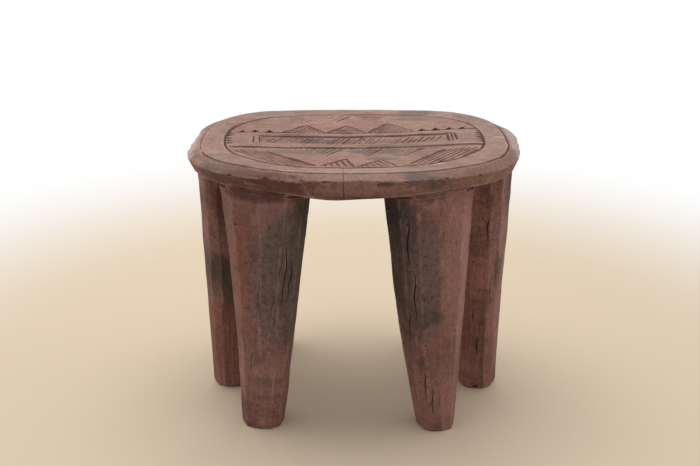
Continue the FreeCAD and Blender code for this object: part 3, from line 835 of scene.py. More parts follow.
def foot_place(name):
    """Centre of a leg's foot, from the frame."""
    for mount in frame["record"]["mounts"]:
        if mount["name"] == f"foot_{name}":
            return mount["pos_m"][0] / METRE, mount["pos_m"][1] / METRE
    raise RuntimeError(f"the frame has no foot for the leg {name}")


def through(values, height):
    """Smooth curve through the values at foot, knee and top."""
    total = 0.0
    for value, station in zip(values, LEG_STATIONS):
        weight = 1.0
        for other in LEG_STATIONS:
            if other != station:
                weight *= (height - other) / (station - other)
        total += value * weight
    return total


def turn_out(name, x, y):
    """Plan place of a point given sideways and outwards from a leg's foot."""
    foot = Vector(foot_place(name))
    return foot + Matrix.Rotation(math.radians(LEGS[name].turn), 2) @ Vector((x, y))


def tenon_place(name):
    leg = LEGS[name]
    return turn_out(name, leg.shift[2], leg.outward[2] - LEG_DEPTH[2] / 2)


def facet_turns(leg, count):
    """Directions that a leg's long hewn facets face, unevenly spaced."""
    draw = random.Random(leg.seed)
    step = math.tau / count
    return [step * (number + draw.uniform(-0.3, 0.3)) for number in range(count)]


def facet_face(turns, number, seed, height):
    """Direction that a facet faces at a height; it sways a little on the way up."""
    return turns[number] + 0.10 * noise.noise(Vector((height / 75.0, number * 3.7, seed)))


def adze_cut(number, seed, height, aside):
    """Which of a facet's short adze cuts a place is in; aside is its angle from the facet's middle."""
    slope = CUT_SLOPE * noise.noise(Vector((number * 4.3, seed, 2.5)))
    sway = 0.3 * noise.noise(Vector((height / 40.0, number * 2.1, seed + 3.0)))
    return math.floor((height + slope * aside) / CUT_LENGTH + 0.37 * number + sway)


def facet_reaches(turns, seed, turn, height):
    """Distance from a leg's middle to each facet that faces a direction, 1 on its smooth section."""
    reaches = {}
    power = LEG_FULLNESS / (LEG_FULLNESS - 1.0)
    for number in range(len(turns)):
        face = facet_face(turns, number, seed, height)
        aside = math.remainder(turn - face, math.tau)
        slant = math.cos(aside)
        if slant < FACET_LIMIT:
            continue
        support = (abs(math.cos(face)) ** power + abs(math.sin(face)) ** power) ** (1.0 / power)
        support *= FACET_SHARE + FACET_WAVE * noise.noise(Vector((height / 60.0, number * 5.3, seed + 9.0)))
        cut = adze_cut(number, seed, height, aside)
        support += CUT_WAVE * noise.noise(Vector((cut * 7.3, number * 1.9, seed + 4.5)))
        reaches[number] = support / slant
    return reaches


def facet_reach(turns, seed, turn, height):
    """Distance from a leg's middle to its surface, with the arrises between facets worn round."""
    reaches = facet_reaches(turns, seed, turn, height)
    total = sum(math.exp(-ARRIS_CRISPNESS * reach) for reach in reaches.values())
    return -math.log(total) / ARRIS_CRISPNESS


def ring_noise(turn, around, level):
    """Noise that closes on itself around a leg; around says how fast it changes on the way."""
    return noise.noise(Vector((around * math.cos(turn), around * math.sin(turn), level)))


def leg_place(name, turns, turn, height, settings):
    """Point on a leg's hewn surface."""
    leg = LEGS[name]
    half_width = through(leg.width, height) / 2
    half_depth = through(LEG_DEPTH, height) / 2
    reach = facet_reach(turns, leg.seed, turn, height)
    mean = (half_width + half_depth) / 2
    marks = 0.0
    for share, around, length in LEG_MARKS:
        marks += share * ring_noise(turn, around, height / length + leg.seed)
    reach += settings.tool_marks / METRE * marks / mean
    worn = settings.foot_wear / METRE * (1.0 + 0.5 * ring_noise(turn, 2.0, leg.seed))
    if height < worn:
        reach -= (worn - math.sqrt(worn ** 2 - (worn - height) ** 2)) / mean
    reach += FLARE * clamp((height - UNDERSIDE + FLARE_RUN) / FLARE_RUN) ** 2 / mean
    if height > UNDERSIDE - JOINT_GROOVE:
        reach -= (GROOVE_DEPTH + GROOVE_WAVE * ring_noise(turn, 4.0, leg.seed + 5.0)) / mean
    sideways = through(leg.shift, height) + half_width * reach * math.cos(turn)
    outwards = through(leg.outward, height) - half_depth + half_depth * reach * math.sin(turn)
    x, y = turn_out(name, sideways, outwards)
    near_top = clamp((height - UNDERSIDE + INSET_RUN) / INSET_RUN)
    inset = 1.0 - near_top * (1.0 - min(1.0, INSET_SHARE / outline_share(UNDER_EDGE, x, y)))
    x, y = x * inset, y * inset
    lift = (underside(x) - UNDERSIDE) * clamp((height - BEND_START) / (UNDERSIDE - BEND_START)) ** 2
    return Vector((x, y, height + lift))


def leg_levels():
    """Heights of a leg's rings, close together at the worn foot and at the shoulder."""
    levels = list(FOOT_LEVELS)
    height = FIRST_LEVEL
    while height < UNDERSIDE - 10.0:
        levels.append(height)
        height += LEVEL_STEP
    near_top = (8.0, 5.0, JOINT_GROOVE + 0.6, JOINT_GROOVE - 0.2, 0.5 * JOINT_GROOVE, 0.0)
    return levels + [UNDERSIDE - below for below in near_top]


def leg_blank(name, settings):
    """Leg before its cracks: hewn facets from foot to shoulder, and the round tenon."""
    bm = bmesh.new()
    turns = facet_turns(LEGS[name], settings.facets)
    ring = bmesh.ops.create_circle(bm, segments=LEG_RING, radius=1.0)["verts"]
    turn_of = {vert: math.atan2(vert.co.y, vert.co.x) for vert in ring}
    edges = list(bm.edges)
    levels = leg_levels()
    for vert in ring:
        vert.co = leg_place(name, turns, turn_of[vert], levels[0], settings)
    bmesh.ops.holes_fill(bm, edges=edges)
    tenon = Vector(tenon_place(name))
    lean = math.radians(LEGS[name].turn)
    steps = [("leg", height) for height in levels[1:]]
    steps += [("tenon", UNDERSIDE), ("tenon", UNDERSIDE + TENON_LENGTH)]
    for kind, height in steps:
        made = bmesh.ops.extrude_edge_only(bm, edges=edges)
        lower = {}
        for edge in (item for vert in made_verts(made) for item in vert.link_edges):
            one, other = edge.verts
            if one in turn_of and other not in turn_of:
                lower[other] = turn_of[one]
            elif other in turn_of and one not in turn_of:
                lower[one] = turn_of[other]
        for vert, turn in lower.items():
            if kind == "leg":
                vert.co = leg_place(name, turns, turn, height, settings)
            else:
                x = tenon.x + TENON_RADIUS * math.cos(turn + lean)
                y = tenon.y + TENON_RADIUS * math.sin(turn + lean)
                vert.co = (x, y, max(height, underside(x)))
        turn_of.update(lower)
        edges = [edge for edge in made_edges(made) if edge.is_boundary]
    bmesh.ops.holes_fill(bm, edges=edges)
    return bm


def crack_path(name, turns, settings, turn, low, high, lean, radius):
    """One drying check: places on the leg's surface, with radii that run out at both ends."""
    steps = max(4, round((high - low) / 6.0))
    path = []
    for step in range(steps + 1):
        share = step / steps
        height = low + (high - low) * share
        sway = lean * share + 0.03 * math.sin(9.0 * share + turn)
        place = leg_place(name, turns, turn + sway, height, settings)
        path.append((place, radius * (0.25 + math.sin(math.pi * share))))
    return path


def leg_cracks(name, settings):
    """Drying checks and knife slips down a leg."""
    leg = LEGS[name]
    turns = facet_turns(leg, settings.facets)
    draw = random.Random(leg.seed + 100)
    paths = []
    for turn, low, high, radius in LEG_CRACKS.get(name, ()):
        paths.append(crack_path(name, turns, settings, math.radians(turn), low, high, 0.05, radius))
    for _ in range(settings.cracks):
        turn = draw.uniform(0, math.tau)
        low = draw.uniform(*CHECK_LOW)
        high = low + draw.uniform(*CHECK_LENGTH)
        lean = draw.uniform(*CHECK_LEAN)
        paths.append(crack_path(name, turns, settings, turn, low, high, lean, draw.uniform(*CHECK_RADIUS)))
    return paths


def add_nicks(bm, name, settings):
    """Gouges and chips in a leg's surface, as flattened balls to cut away."""
    leg = LEGS[name]
    turns = facet_turns(leg, settings.facets)
    draw = random.Random(leg.seed + 200)
    nicks = [(math.radians(turn), *size) for turn, *size in LEG_NICKS.get(name, ())]
    for _ in range(settings.nicks):
        turn = draw.uniform(0, math.tau)
        nicks.append((turn, *(draw.uniform(*limits) for limits in NICK_RANGES)))
    for turn, height, across, along, depth in nicks:
        place = leg_place(name, turns, turn, height, settings)
        out = place - leg_place(name, turns, turn + math.pi, height, settings)
        add_dent(bm, place, out.normalized(), across, along, depth)


def mark_facets(piece, name, settings):
    """Store at each vertex of a leg a tone from 0 to 1 that differs at random by facet and by adze cut,
    partly painted shading that sets the facets apart.
    """
    leg = LEGS[name]
    turns = facet_turns(leg, settings.facets)
    draw = random.Random(leg.seed + 300)
    tones = [draw.random() for _ in turns]
    cut_tones = [draw.random() for _ in range(CUT_TONES)]
    facet = piece.data.attributes.new("facet", "FLOAT", "POINT")
    back = Matrix.Rotation(-math.radians(leg.turn), 2)
    for vert, value in zip(piece.data.vertices, facet.data):
        place = vert.co / METRE
        sideways, outwards = back @ (Vector((place.x, place.y)) - Vector(foot_place(name)))
        half_depth = through(LEG_DEPTH, place.z) / 2
        across = (sideways - through(leg.shift, place.z)) / (through(leg.width, place.z) / 2)
        out = (outwards - through(leg.outward, place.z)) / half_depth + 1.0
        turn = math.atan2(out, across)
        reaches = facet_reaches(turns, leg.seed, turn, place.z)
        number = min(reaches, key=reaches.get)
        aside = math.remainder(turn - facet_face(turns, number, leg.seed, place.z), math.tau)
        cut = adze_cut(number, leg.seed, place.z, aside)
        value.value = 0.55 * tones[number] + 0.45 * cut_tones[(5 * number + cut) % CUT_TONES]


# Nodes for the finishes

def put(tree, kind, values=None, **settings):
    """Add a node, set its properties, and fill its sockets with values or links."""
    node = tree.nodes.new(kind)
    for name, value in settings.items():
        setattr(node, name, value)
    for name, value in (values or {}).items():
        socket = node.inputs[name]
        if isinstance(value, bpy.types.NodeSocket):
            tree.links.new(value, socket)
        else:
            socket.default_value = value
    return node


def mix_colour(tree, factor, base, top, blend="MIX"):
    values = {0: factor, 6: base, 7: top}
    return put(tree, "ShaderNodeMix", values, data_type="RGBA", blend_type=blend).outputs[2]


def maths(tree, operation, one, other=0.0, clamped=False):
    return put(tree, "ShaderNodeMath", {0: one, 1: other}, operation=operation, use_clamp=clamped).outputs[0]


def vector_maths(tree, operation, one, other):
    return put(tree, "ShaderNodeVectorMath", {0: one, 1: other}, operation=operation).outputs[0]


def vector_length(tree, vector):
    return put(tree, "ShaderNodeVectorMath", {0: vector}, operation="LENGTH").outputs["Value"]


def spread(tree, value, low, high, to_low=0.0, to_high=1.0):
    """Smooth step from to_low to to_high as the value goes from low to high."""
    values = {"Value": value, "From Min": low, "From Max": high, "To Min": to_low, "To Max": to_high}
    return put(tree, "ShaderNodeMapRange", values, interpolation_type="SMOOTHSTEP").outputs[0]


def stretched(tree, vector, scale):
    return put(tree, "ShaderNodeMapping", {"Vector": vector, "Scale": scale}).outputs[0]


def uneven(tree, vector, scale, detail=4.0, roughness=0.55, distortion=0.0):
    """Noise value from 0 to 1."""
    values = {"Vector": vector, "Scale": scale, "Detail": detail, "Roughness": roughness}
    values["Distortion"] = distortion
    return put(tree, "ShaderNodeTexNoise", values).outputs[0]


def new_group(name, inputs, outputs):
    """Shader node group with named sockets; gives the tree, its inputs and its output node."""
    tree = bpy.data.node_groups.new(name, "ShaderNodeTree")
    for title, kind in inputs:
        tree.interface.new_socket(title, in_out="INPUT", socket_type=kind)
    for title, kind in outputs:
        tree.interface.new_socket(title, in_out="OUTPUT", socket_type=kind)
    return tree, tree.nodes.new("NodeGroupInput").outputs, tree.nodes.new("NodeGroupOutput")


VECTOR, COLOUR, VALUE = "NodeSocketVector", "NodeSocketColor", "NodeSocketFloat"


def grain_group():
    """Log wood with its grain upright: long streaks, blotches and fine fibre."""
    tree, given, out = new_group(
        "log_grain",
        [("Vector", VECTOR), ("Pale", COLOUR), ("Deep", COLOUR)],
        [("Color", COLOUR), ("Height", VALUE)],
    )
    vector = given["Vector"]
    blotch = uneven(tree, vector, 22.0, 4.0, 0.6)
    streak = uneven(tree, stretched(tree, vector, (1.0, 1.0, 0.07)), 230.0, 5.0, 0.6)
    fibre = uneven(tree, stretched(tree, vector, (1.0, 1.0, 0.16)), 950.0, 3.0, 0.6)
    tone = maths(tree, "ADD", maths(tree, "MULTIPLY", blotch, 0.5), maths(tree, "MULTIPLY", streak, 0.35))
    tone = maths(tree, "ADD", tone, maths(tree, "MULTIPLY", fibre, 0.15))
    colour = mix_colour(tree, spread(tree, tone, 0.36, 0.64), given["Deep"], given["Pale"])
    tree.links.new(colour, out.inputs["Color"])
    height = maths(tree, "ADD", maths(tree, "MULTIPLY", streak, 0.6), maths(tree, "MULTIPLY", fibre, 0.4))
    tree.links.new(height, out.inputs["Height"])
    return tree


def ragged_patch_group():
    """Ragged, mottled patch around a place, for stains and for painted shade and light."""
    tree, given, out = new_group(
        "ragged_patch",
        [("Vector", VECTOR), ("Centre", VECTOR), ("Radius", VECTOR), ("Ragged", VALUE)],
        [("Mask", VALUE)],
    )
    away = vector_maths(tree, "SUBTRACT", given["Vector"], given["Centre"])
    distance = vector_length(tree, vector_maths(tree, "DIVIDE", away, given["Radius"]))
    edge = uneven(tree, stretched(tree, given["Vector"], (1.0, 1.0, 0.55)), 90.0, 8.0, 0.72)
    shift = maths(tree, "MULTIPLY", maths(tree, "SUBTRACT", edge, 0.5), given["Ragged"])
    body = spread(tree, maths(tree, "ADD", distance, shift), 1.15, 0.45)
    mottle = spread(tree, uneven(tree, given["Vector"], 330.0, 5.0, 0.7), 0.3, 0.6, 0.55, 1.0)
    tree.links.new(maths(tree, "MULTIPLY", body, mottle), out.inputs["Mask"])
    return tree


def speck_group():
    """Small dark pores and specks."""
    tree, given, out = new_group("pores", [("Vector", VECTOR), ("Scale", VALUE)], [("Mask", VALUE)])
    grain = uneven(tree, given["Vector"], given["Scale"], 3.0, 0.7)
    patchy = uneven(tree, given["Vector"], 30.0, 3.0, 0.6)
    grain = maths(tree, "ADD", grain, maths(tree, "MULTIPLY", maths(tree, "SUBTRACT", patchy, 0.5), 0.25))
    tree.links.new(spread(tree, grain, 0.6, 0.74), out.inputs["Mask"])
    return tree


def mottle_group():
    """Broken cover, finely ragged and thicker in some places than in others."""
    inputs = [("Vector", VECTOR), ("Scale", VALUE), ("Cover", VALUE)]
    tree, given, out = new_group("mottling", inputs, [("Mask", VALUE)])
    fine = uneven(tree, given["Vector"], given["Scale"], 8.0, 0.72)
    where = uneven(tree, given["Vector"], 17.0, 3.0, 0.6)
    level = maths(tree, "ADD", fine, maths(tree, "MULTIPLY", maths(tree, "SUBTRACT", where, 0.5), 0.7))
    tree.links.new(spread(tree, maths(tree, "ADD", level, given["Cover"]), 0.46, 0.64), out.inputs["Mask"])
    return tree


def crackle_group():
    """Fine net of dry cracks, ragged and broken."""
    tree, given, out = new_group("crackle", [("Vector", VECTOR), ("Scale", VALUE)], [("Mask", VALUE)])
    values = {"Vector": given["Vector"], "Scale": 210.0, "Detail": 6.0}
    bend = put(tree, "ShaderNodeTexNoise", values).outputs[1]
    bend = vector_maths(tree, "SUBTRACT", bend, (0.5, 0.5, 0.5))
    bend = put(tree, "ShaderNodeVectorMath", {0: bend, "Scale": 0.016}, operation="SCALE").outputs[0]
    bent = vector_maths(tree, "ADD", given["Vector"], bend)
    values = {"Vector": stretched(tree, bent, (1.0, 1.0, 0.6)), "Scale": given["Scale"]}
    edge = put(tree, "ShaderNodeTexVoronoi", values, feature="DISTANCE_TO_EDGE").outputs["Distance"]
    broken = uneven(tree, given["Vector"], 150.0, 5.0, 0.7)
    net = maths(tree, "MULTIPLY", spread(tree, edge, 0.2, 0.02), spread(tree, broken, 0.46, 0.58))
    tree.links.new(net, out.inputs["Mask"])
    return tree


def edge_wear_and_highlight_group():
    """Rubbed edges with a painted highlight, from the sharpness stored in the mesh."""
    tree, given, out = new_group("rubbed_edge_and_highlight", [("Vector", VECTOR)], [("Mask", VALUE)])
    sharp = put(tree, "ShaderNodeAttribute", attribute_name="wear").outputs["Fac"]
    broken = uneven(tree, given["Vector"], 40.0, 5.0, 0.65)
    tree.links.new(maths(tree, "MULTIPLY", sharp, spread(tree, broken, 0.38, 0.62), True), out.inputs["Mask"])
    return tree


def use_group(tree, group, values):
    return put(tree, "ShaderNodeGroup", values, node_tree=group).outputs


def patch_mask(tree, groups, place, centre, radius):
    """Mask of one ragged patch, given in millimetres."""
    values = {
        "Vector": place, "Ragged": 1.5,
        "Centre": [part * METRE for part in centre], "Radius": [part * METRE for part in radius],
    }
    return use_group(tree, groups["smoke_and_shade"], values)["Mask"]


# How fine the flecks, the net of dry cracks and the pores are, how much of a cut its dirt covers, and the
# strength and height of the bumps.
FLECK_SCALE, NET_SCALE, PORE_SCALE = 420.0, 160.0, 420.0
CUT_COVER = 0.9
BUMP_STRENGTH, BUMP_HEIGHT = 0.6, 0.0012
# Brightness of a leg's darkest and palest facet, partly painted shading that sets the facets apart, and how
# much the scratches on it show.
FACET_DARK, FACET_PALE = 0.66, 1.3
SCRATCH_COVER = 0.75


def wood_material(name, kind, finish, look, own_tone):
    """Hand-worked wood: grain, mottling, dust with painted top light, painted shade on the sides, its own
    tone, patches of stain and of painted shade and light, rubbed edges with painted highlights, and dirt in
    the cuts.
    """
    groups = effect_groups()
    material = bpy.data.materials.new(name)
    material.use_nodes = True
    tree = material.node_tree
    tree.nodes.clear()
    coordinates = put(tree, "ShaderNodeTexCoord").outputs
    place = coordinates["Object"]
    values = {"Vector": place, "Pale": finish[kind + "_pale"], "Deep": finish[kind + "_deep"]}
    grain = use_group(tree, groups["grain"], values)
    colour = grain["Color"]

    def cover(mask, strength, tint):
        return mix_colour(tree, maths(tree, "MULTIPLY", mask, strength), colour, finish[tint])

    for number, (tint, scale, stretch, amount, strength) in enumerate(look.mottles):
        values = {"Vector": place, "Location": (0.3 * number, 0.7, 0.0), "Scale": (stretch, 1.0, 1.0)}
        shifted = put(tree, "ShaderNodeMapping", values).outputs[0]
        mask = use_group(tree, groups["mottle"], {"Vector": shifted, "Scale": scale, "Cover": amount})["Mask"]
        colour = cover(mask, strength, tint)
    up = put(tree, "ShaderNodeSeparateXYZ", {0: coordinates["Normal"]}).outputs[2]
    drift = uneven(tree, place, 45.0, 8.0, 0.7)
    # Dust and painted light: faces that point up get a paler tint, partly dust and partly painted light from
    # above.
    dust = maths(tree, "MULTIPLY", spread(tree, up, 0.3, 1.0, 0.08, 1.0), spread(tree, drift, 0.32, 0.66))
    colour = cover(dust, look.dust, "dust")
    # Painted shade: faces that do not point up, such as the bevel, the rim and the walls of cuts, get the
    # dark red tint, partly the rim's own wood and partly painted shade.
    if look.sides:
        colour = cover(spread(tree, up, 0.985, 0.86), look.sides, "bark")
    colour = own_tone(tree, place, colour)
    for tint, centre, radius, strength in look.patches:
        colour = cover(patch_mask(tree, groups, place, centre, radius), strength, tint)
    flecks = uneven(tree, stretched(tree, place, (1.0, 1.0, look.run)), FLECK_SCALE, 6.0, 0.72)
    flecks = spread(tree, flecks, 0.32, 0.68, 1.0 - look.flecks, 1.0 + look.flecks)
    colour = mix_colour(tree, 1.0, colour, flecks, "MULTIPLY")
    net = use_group(tree, groups["crackle"], {"Vector": place, "Scale": NET_SCALE})["Mask"]
    for centre, radius, strength in look.crackles:
        mask = maths(tree, "MULTIPLY", net, patch_mask(tree, groups, place, centre, radius))
        colour = cover(mask, strength, "dirt")
    # Rubbed edges: partly real wear and partly a painted highlight where edges and cut lips catch the light.
    worn = use_group(tree, groups["wear"], {"Vector": place})["Mask"]
    colour = cover(worn, look.wear, "rubbed")
    pores = use_group(tree, groups["speck"], {"Vector": place, "Scale": PORE_SCALE})["Mask"]
    colour = cover(pores, look.pores, "dirt")
    cut = put(tree, "ShaderNodeAttribute", attribute_name="cut").outputs["Fac"]
    colour = cover(cut, CUT_COVER, look.cuts)
    roughness = spread(tree, drift, 0.3, 0.7, 0.62, 0.85)
    lumps = maths(tree, "MULTIPLY", uneven(tree, place, 130.0, 5.0, 0.6), 1.6)
    relief = maths(tree, "SUBTRACT", grain["Height"], maths(tree, "MULTIPLY", pores, 0.5))
    relief = maths(tree, "ADD", relief, lumps)
    values = {"Strength": BUMP_STRENGTH, "Distance": BUMP_HEIGHT, "Height": relief}
    bump = put(tree, "ShaderNodeBump", values)
    surface = put(
        tree, "ShaderNodeBsdfPrincipled",
        {"Base Color": colour, "Roughness": roughness, "Normal": bump.outputs[0], "Specular IOR Level": 0.3},
    )
    put(tree, "ShaderNodeOutputMaterial", {"Surface": surface.outputs[0]})
    return material


def seat_tone(field_colour):
    """Wiped, redder wood inside the incised oval."""
    def tone(tree, place, colour):
        inside = put(tree, "ShaderNodeAttribute", attribute_name="field").outputs["Fac"]
        smear = uneven(tree, stretched(tree, place, (0.16, 1.0, 1.0)), 120.0, 5.0, 0.65)
        amount = maths(tree, "MULTIPLY", inside, spread(tree, smear, 0.3, 0.65, 0.2, 1.0))
        return mix_colour(tree, amount, colour, field_colour, "MULTIPLY")
    return tone


def leg_tone(scratch_colour):
    """Facets of slightly different tone, partly painted shading that sets them apart, with fine scratches
    across the grain.
    """
    def tone(tree, place, colour):
        facet = put(tree, "ShaderNodeAttribute", attribute_name="facet").outputs["Fac"]
        value = spread(tree, facet, 0.0, 1.0, FACET_DARK, FACET_PALE)
        colour = put(tree, "ShaderNodeHueSaturation", {"Value": value, "Color": colour}).outputs[0]
        lines = uneven(tree, stretched(tree, place, (0.12, 0.12, 1.0)), 460.0, 4.0, 0.65, 0.4)
        where = uneven(tree, place, 26.0, 4.0, 0.6)
        scratched = maths(tree, "MULTIPLY", spread(tree, lines, 0.54, 0.68), spread(tree, where, 0.42, 0.64))
        return mix_colour(tree, maths(tree, "MULTIPLY", scratched, SCRATCH_COVER), colour, scratch_colour)
    return tone


GROUP_MAKERS = {
    "grain": ("log_grain", grain_group),
    "smoke_and_shade": ("ragged_patch", ragged_patch_group),
    "speck": ("pores", speck_group),
    "wear": ("rubbed_edge_and_highlight", edge_wear_and_highlight_group),
    "mottle": ("mottling", mottle_group),
    "crackle": ("crackle", crackle_group),
}


def effect_groups():
    """The finishes' shared effects, each built once."""
    groups = {}
    for key, (title, maker) in GROUP_MAKERS.items():
        groups[key] = bpy.data.node_groups.get(title) or maker()
    return groups


# A finish: mottling over all of it as tint, scale, stretch, cover and strength; stains, painted shade and
# painted light as tint, centre, radius and strength; cracked places as centre, radius and strength; and how
# much dust and painted top light, painted shade on the sides, flecks, wear and painted highlights, and pores
# show, with how the flecks run along the grain and what fills the cuts.
Look = namedtuple("Look", "mottles patches crackles dust sides flecks run wear pores cuts")
LEG_LOOK = Look(
    mottles=(
        ("leg_ochre", 45.0, 1.0, -0.02, 0.6), ("rosy", 40.0, 1.0, -0.1, 0.5),
        ("slate", 60.0, 1.0, -0.12, 0.45), ("smoke_and_shade", 70.0, 1.0, -0.09, 0.45),
        ("rosy", 110.0, 1.0, -0.07, 0.5), ("smoke_and_shade", 150.0, 1.0, -0.05, 0.5),
        ("ash", 420.0, 1.0, -0.14, 0.35), ("dirt", 300.0, 1.0, -0.13, 0.85),
    ),
    patches=(
        ("rosy", (-100, -118, 272), (60, 40, 22), 0.15),
        ("slate", (-82, -115, 268), (30, 40, 16), 0.35),
        ("leg_ochre", (-124, -118, 190), (16, 45, 90), 0.6),
        ("slate", (-86, -118, 180), (32, 50, 102), 1.0),
        ("slate", (-70, -112, 240), (24, 50, 36), 0.9),
        ("rosy", (-92, -118, 70), (40, 40, 40), 0.4),
        ("olive", (-57, -104, 195), (27, 60, 130), 1.0),
        # Stain and painted shade on the front left leg's inner side under the rim.
        ("smoke_and_shade", (-52, -104, 262), (24, 60, 40), 0.7),
        ("soot", (-46, -104, 268), (19, 60, 30), 0.65),
        ("soot", (-52, -104, 215), (20, 60, 90), 0.2),
        ("smoke_and_shade", (-80, -118, 185), (22, 50, 90), 0.3),
        # Painted shade under the rim above the front left leg.
        ("dirt", (-98, -125, 286), (66, 46, 8), 1.0),
        ("dirt", (-98, -125, 288), (60, 46, 6), 0.7),
        ("smoke_and_shade", (-98, -115, 62), (26, 30, 9), 0.55),
        ("smoke_and_shade", (-98, -115, 42), (20, 30, 5), 0.5),
        ("smoke_and_shade", (-108, -118, 92), (10, 30, 10), 0.45),
        ("smoke_and_shade", (-158, 0, 164), (42, 60, 24), 1.0),
        ("smoke_and_shade", (-146, -20, 125), (19, 50, 46), 1.0),
        ("smoke_and_shade", (-150, -10, 150), (30, 60, 36), 0.8),
        ("soot", (-152, -6, 158), (34, 60, 26), 0.3),
        ("bark", (-150, -10, 80), (40, 50, 66), 0.6),
        ("dirt", (-146, -14, 90), (16, 50, 60), 0.35),
        # Painted shade on the left leg's inner side, next to the front left leg.
        ("dirt", (-155, -20, 262), (14, 60, 58), 1.0),
        ("smoke_and_shade", (-178, 0, 240), (8, 40, 22), 0.5),
        ("leg_ochre", (-160, -5, 66), (40, 60, 66), 0.6),
        # Painted shade on the left leg's inner side, next to the front left leg.
        ("bark", (-141, -10, 250), (13, 60, 60), 0.85),
        # Painted light on the left leg's outer left side.
        ("rosy", (-188, 0, 262), (10, 60, 40), 0.5),
        ("smoke_and_shade", (40, -105, 220), (27, 60, 120), 1.0),
        ("smoke_and_shade", (62, -112, 200), (20, 60, 120), 0.8),
        ("smoke_and_shade", (46, -108, 230), (24, 60, 96), 0.6),
        # Stain and painted shade on the front right leg's inner side under the rim.
        ("soot", (38, -104, 266), (24, 60, 44), 0.9),
        ("soot", (52, -108, 215), (20, 60, 90), 0.35),
        # Painted shade under the rim above the front right leg.
        ("dirt", (66, -125, 287), (40, 40, 6), 0.8),
        ("slate", (80, -115, 190), (22, 50, 92), 0.8),
        ("smoke_and_shade", (62, -115, 150), (22, 40, 40), 0.6),
        # Painted light on the front right leg's right side.
        ("rosy", (112, -115, 205), (22, 60, 110), 0.75),
        ("rosy", (96, -118, 55), (30, 40, 50), 0.45),
        ("smoke_and_shade", (85, -118, 145), (14, 30, 12), 0.85),
        ("smoke_and_shade", (76, -115, 88), (8, 30, 12), 0.95),
        ("smoke_and_shade", (96, -118, 96), (7, 30, 4), 0.7),
        ("leg_ochre", (98, -118, 104), (8, 30, 10), 0.6),
        # Painted light on the right leg's outer right side.
        ("rosy", (172, -5, 150), (12, 60, 130), 0.5),
        ("smoke_and_shade", (180, -5, 250), (9, 40, 30), 0.75),
        ("smoke_and_shade", (168, -10, 160), (8, 40, 30), 0.9),
        # Painted shade on the right leg's upper part, under the rim.
        ("smoke_and_shade", (158, -16, 262), (10, 30, 16), 0.6),
        ("dirt", (154, -20, 270), (19, 44, 36), 0.85),
    ),
    crackles=(
        ((-96, -120, 178), (38, 50, 98), 0.95), ((62, -112, 185), (42, 50, 110), 0.9),
        ((84, -118, 60), (20, 30, 40), 0.6),
    ),
    dust=0.5, sides=0.0, flecks=0.2, run=0.4, wear=0.34, pores=0.85, cuts="soot",
)
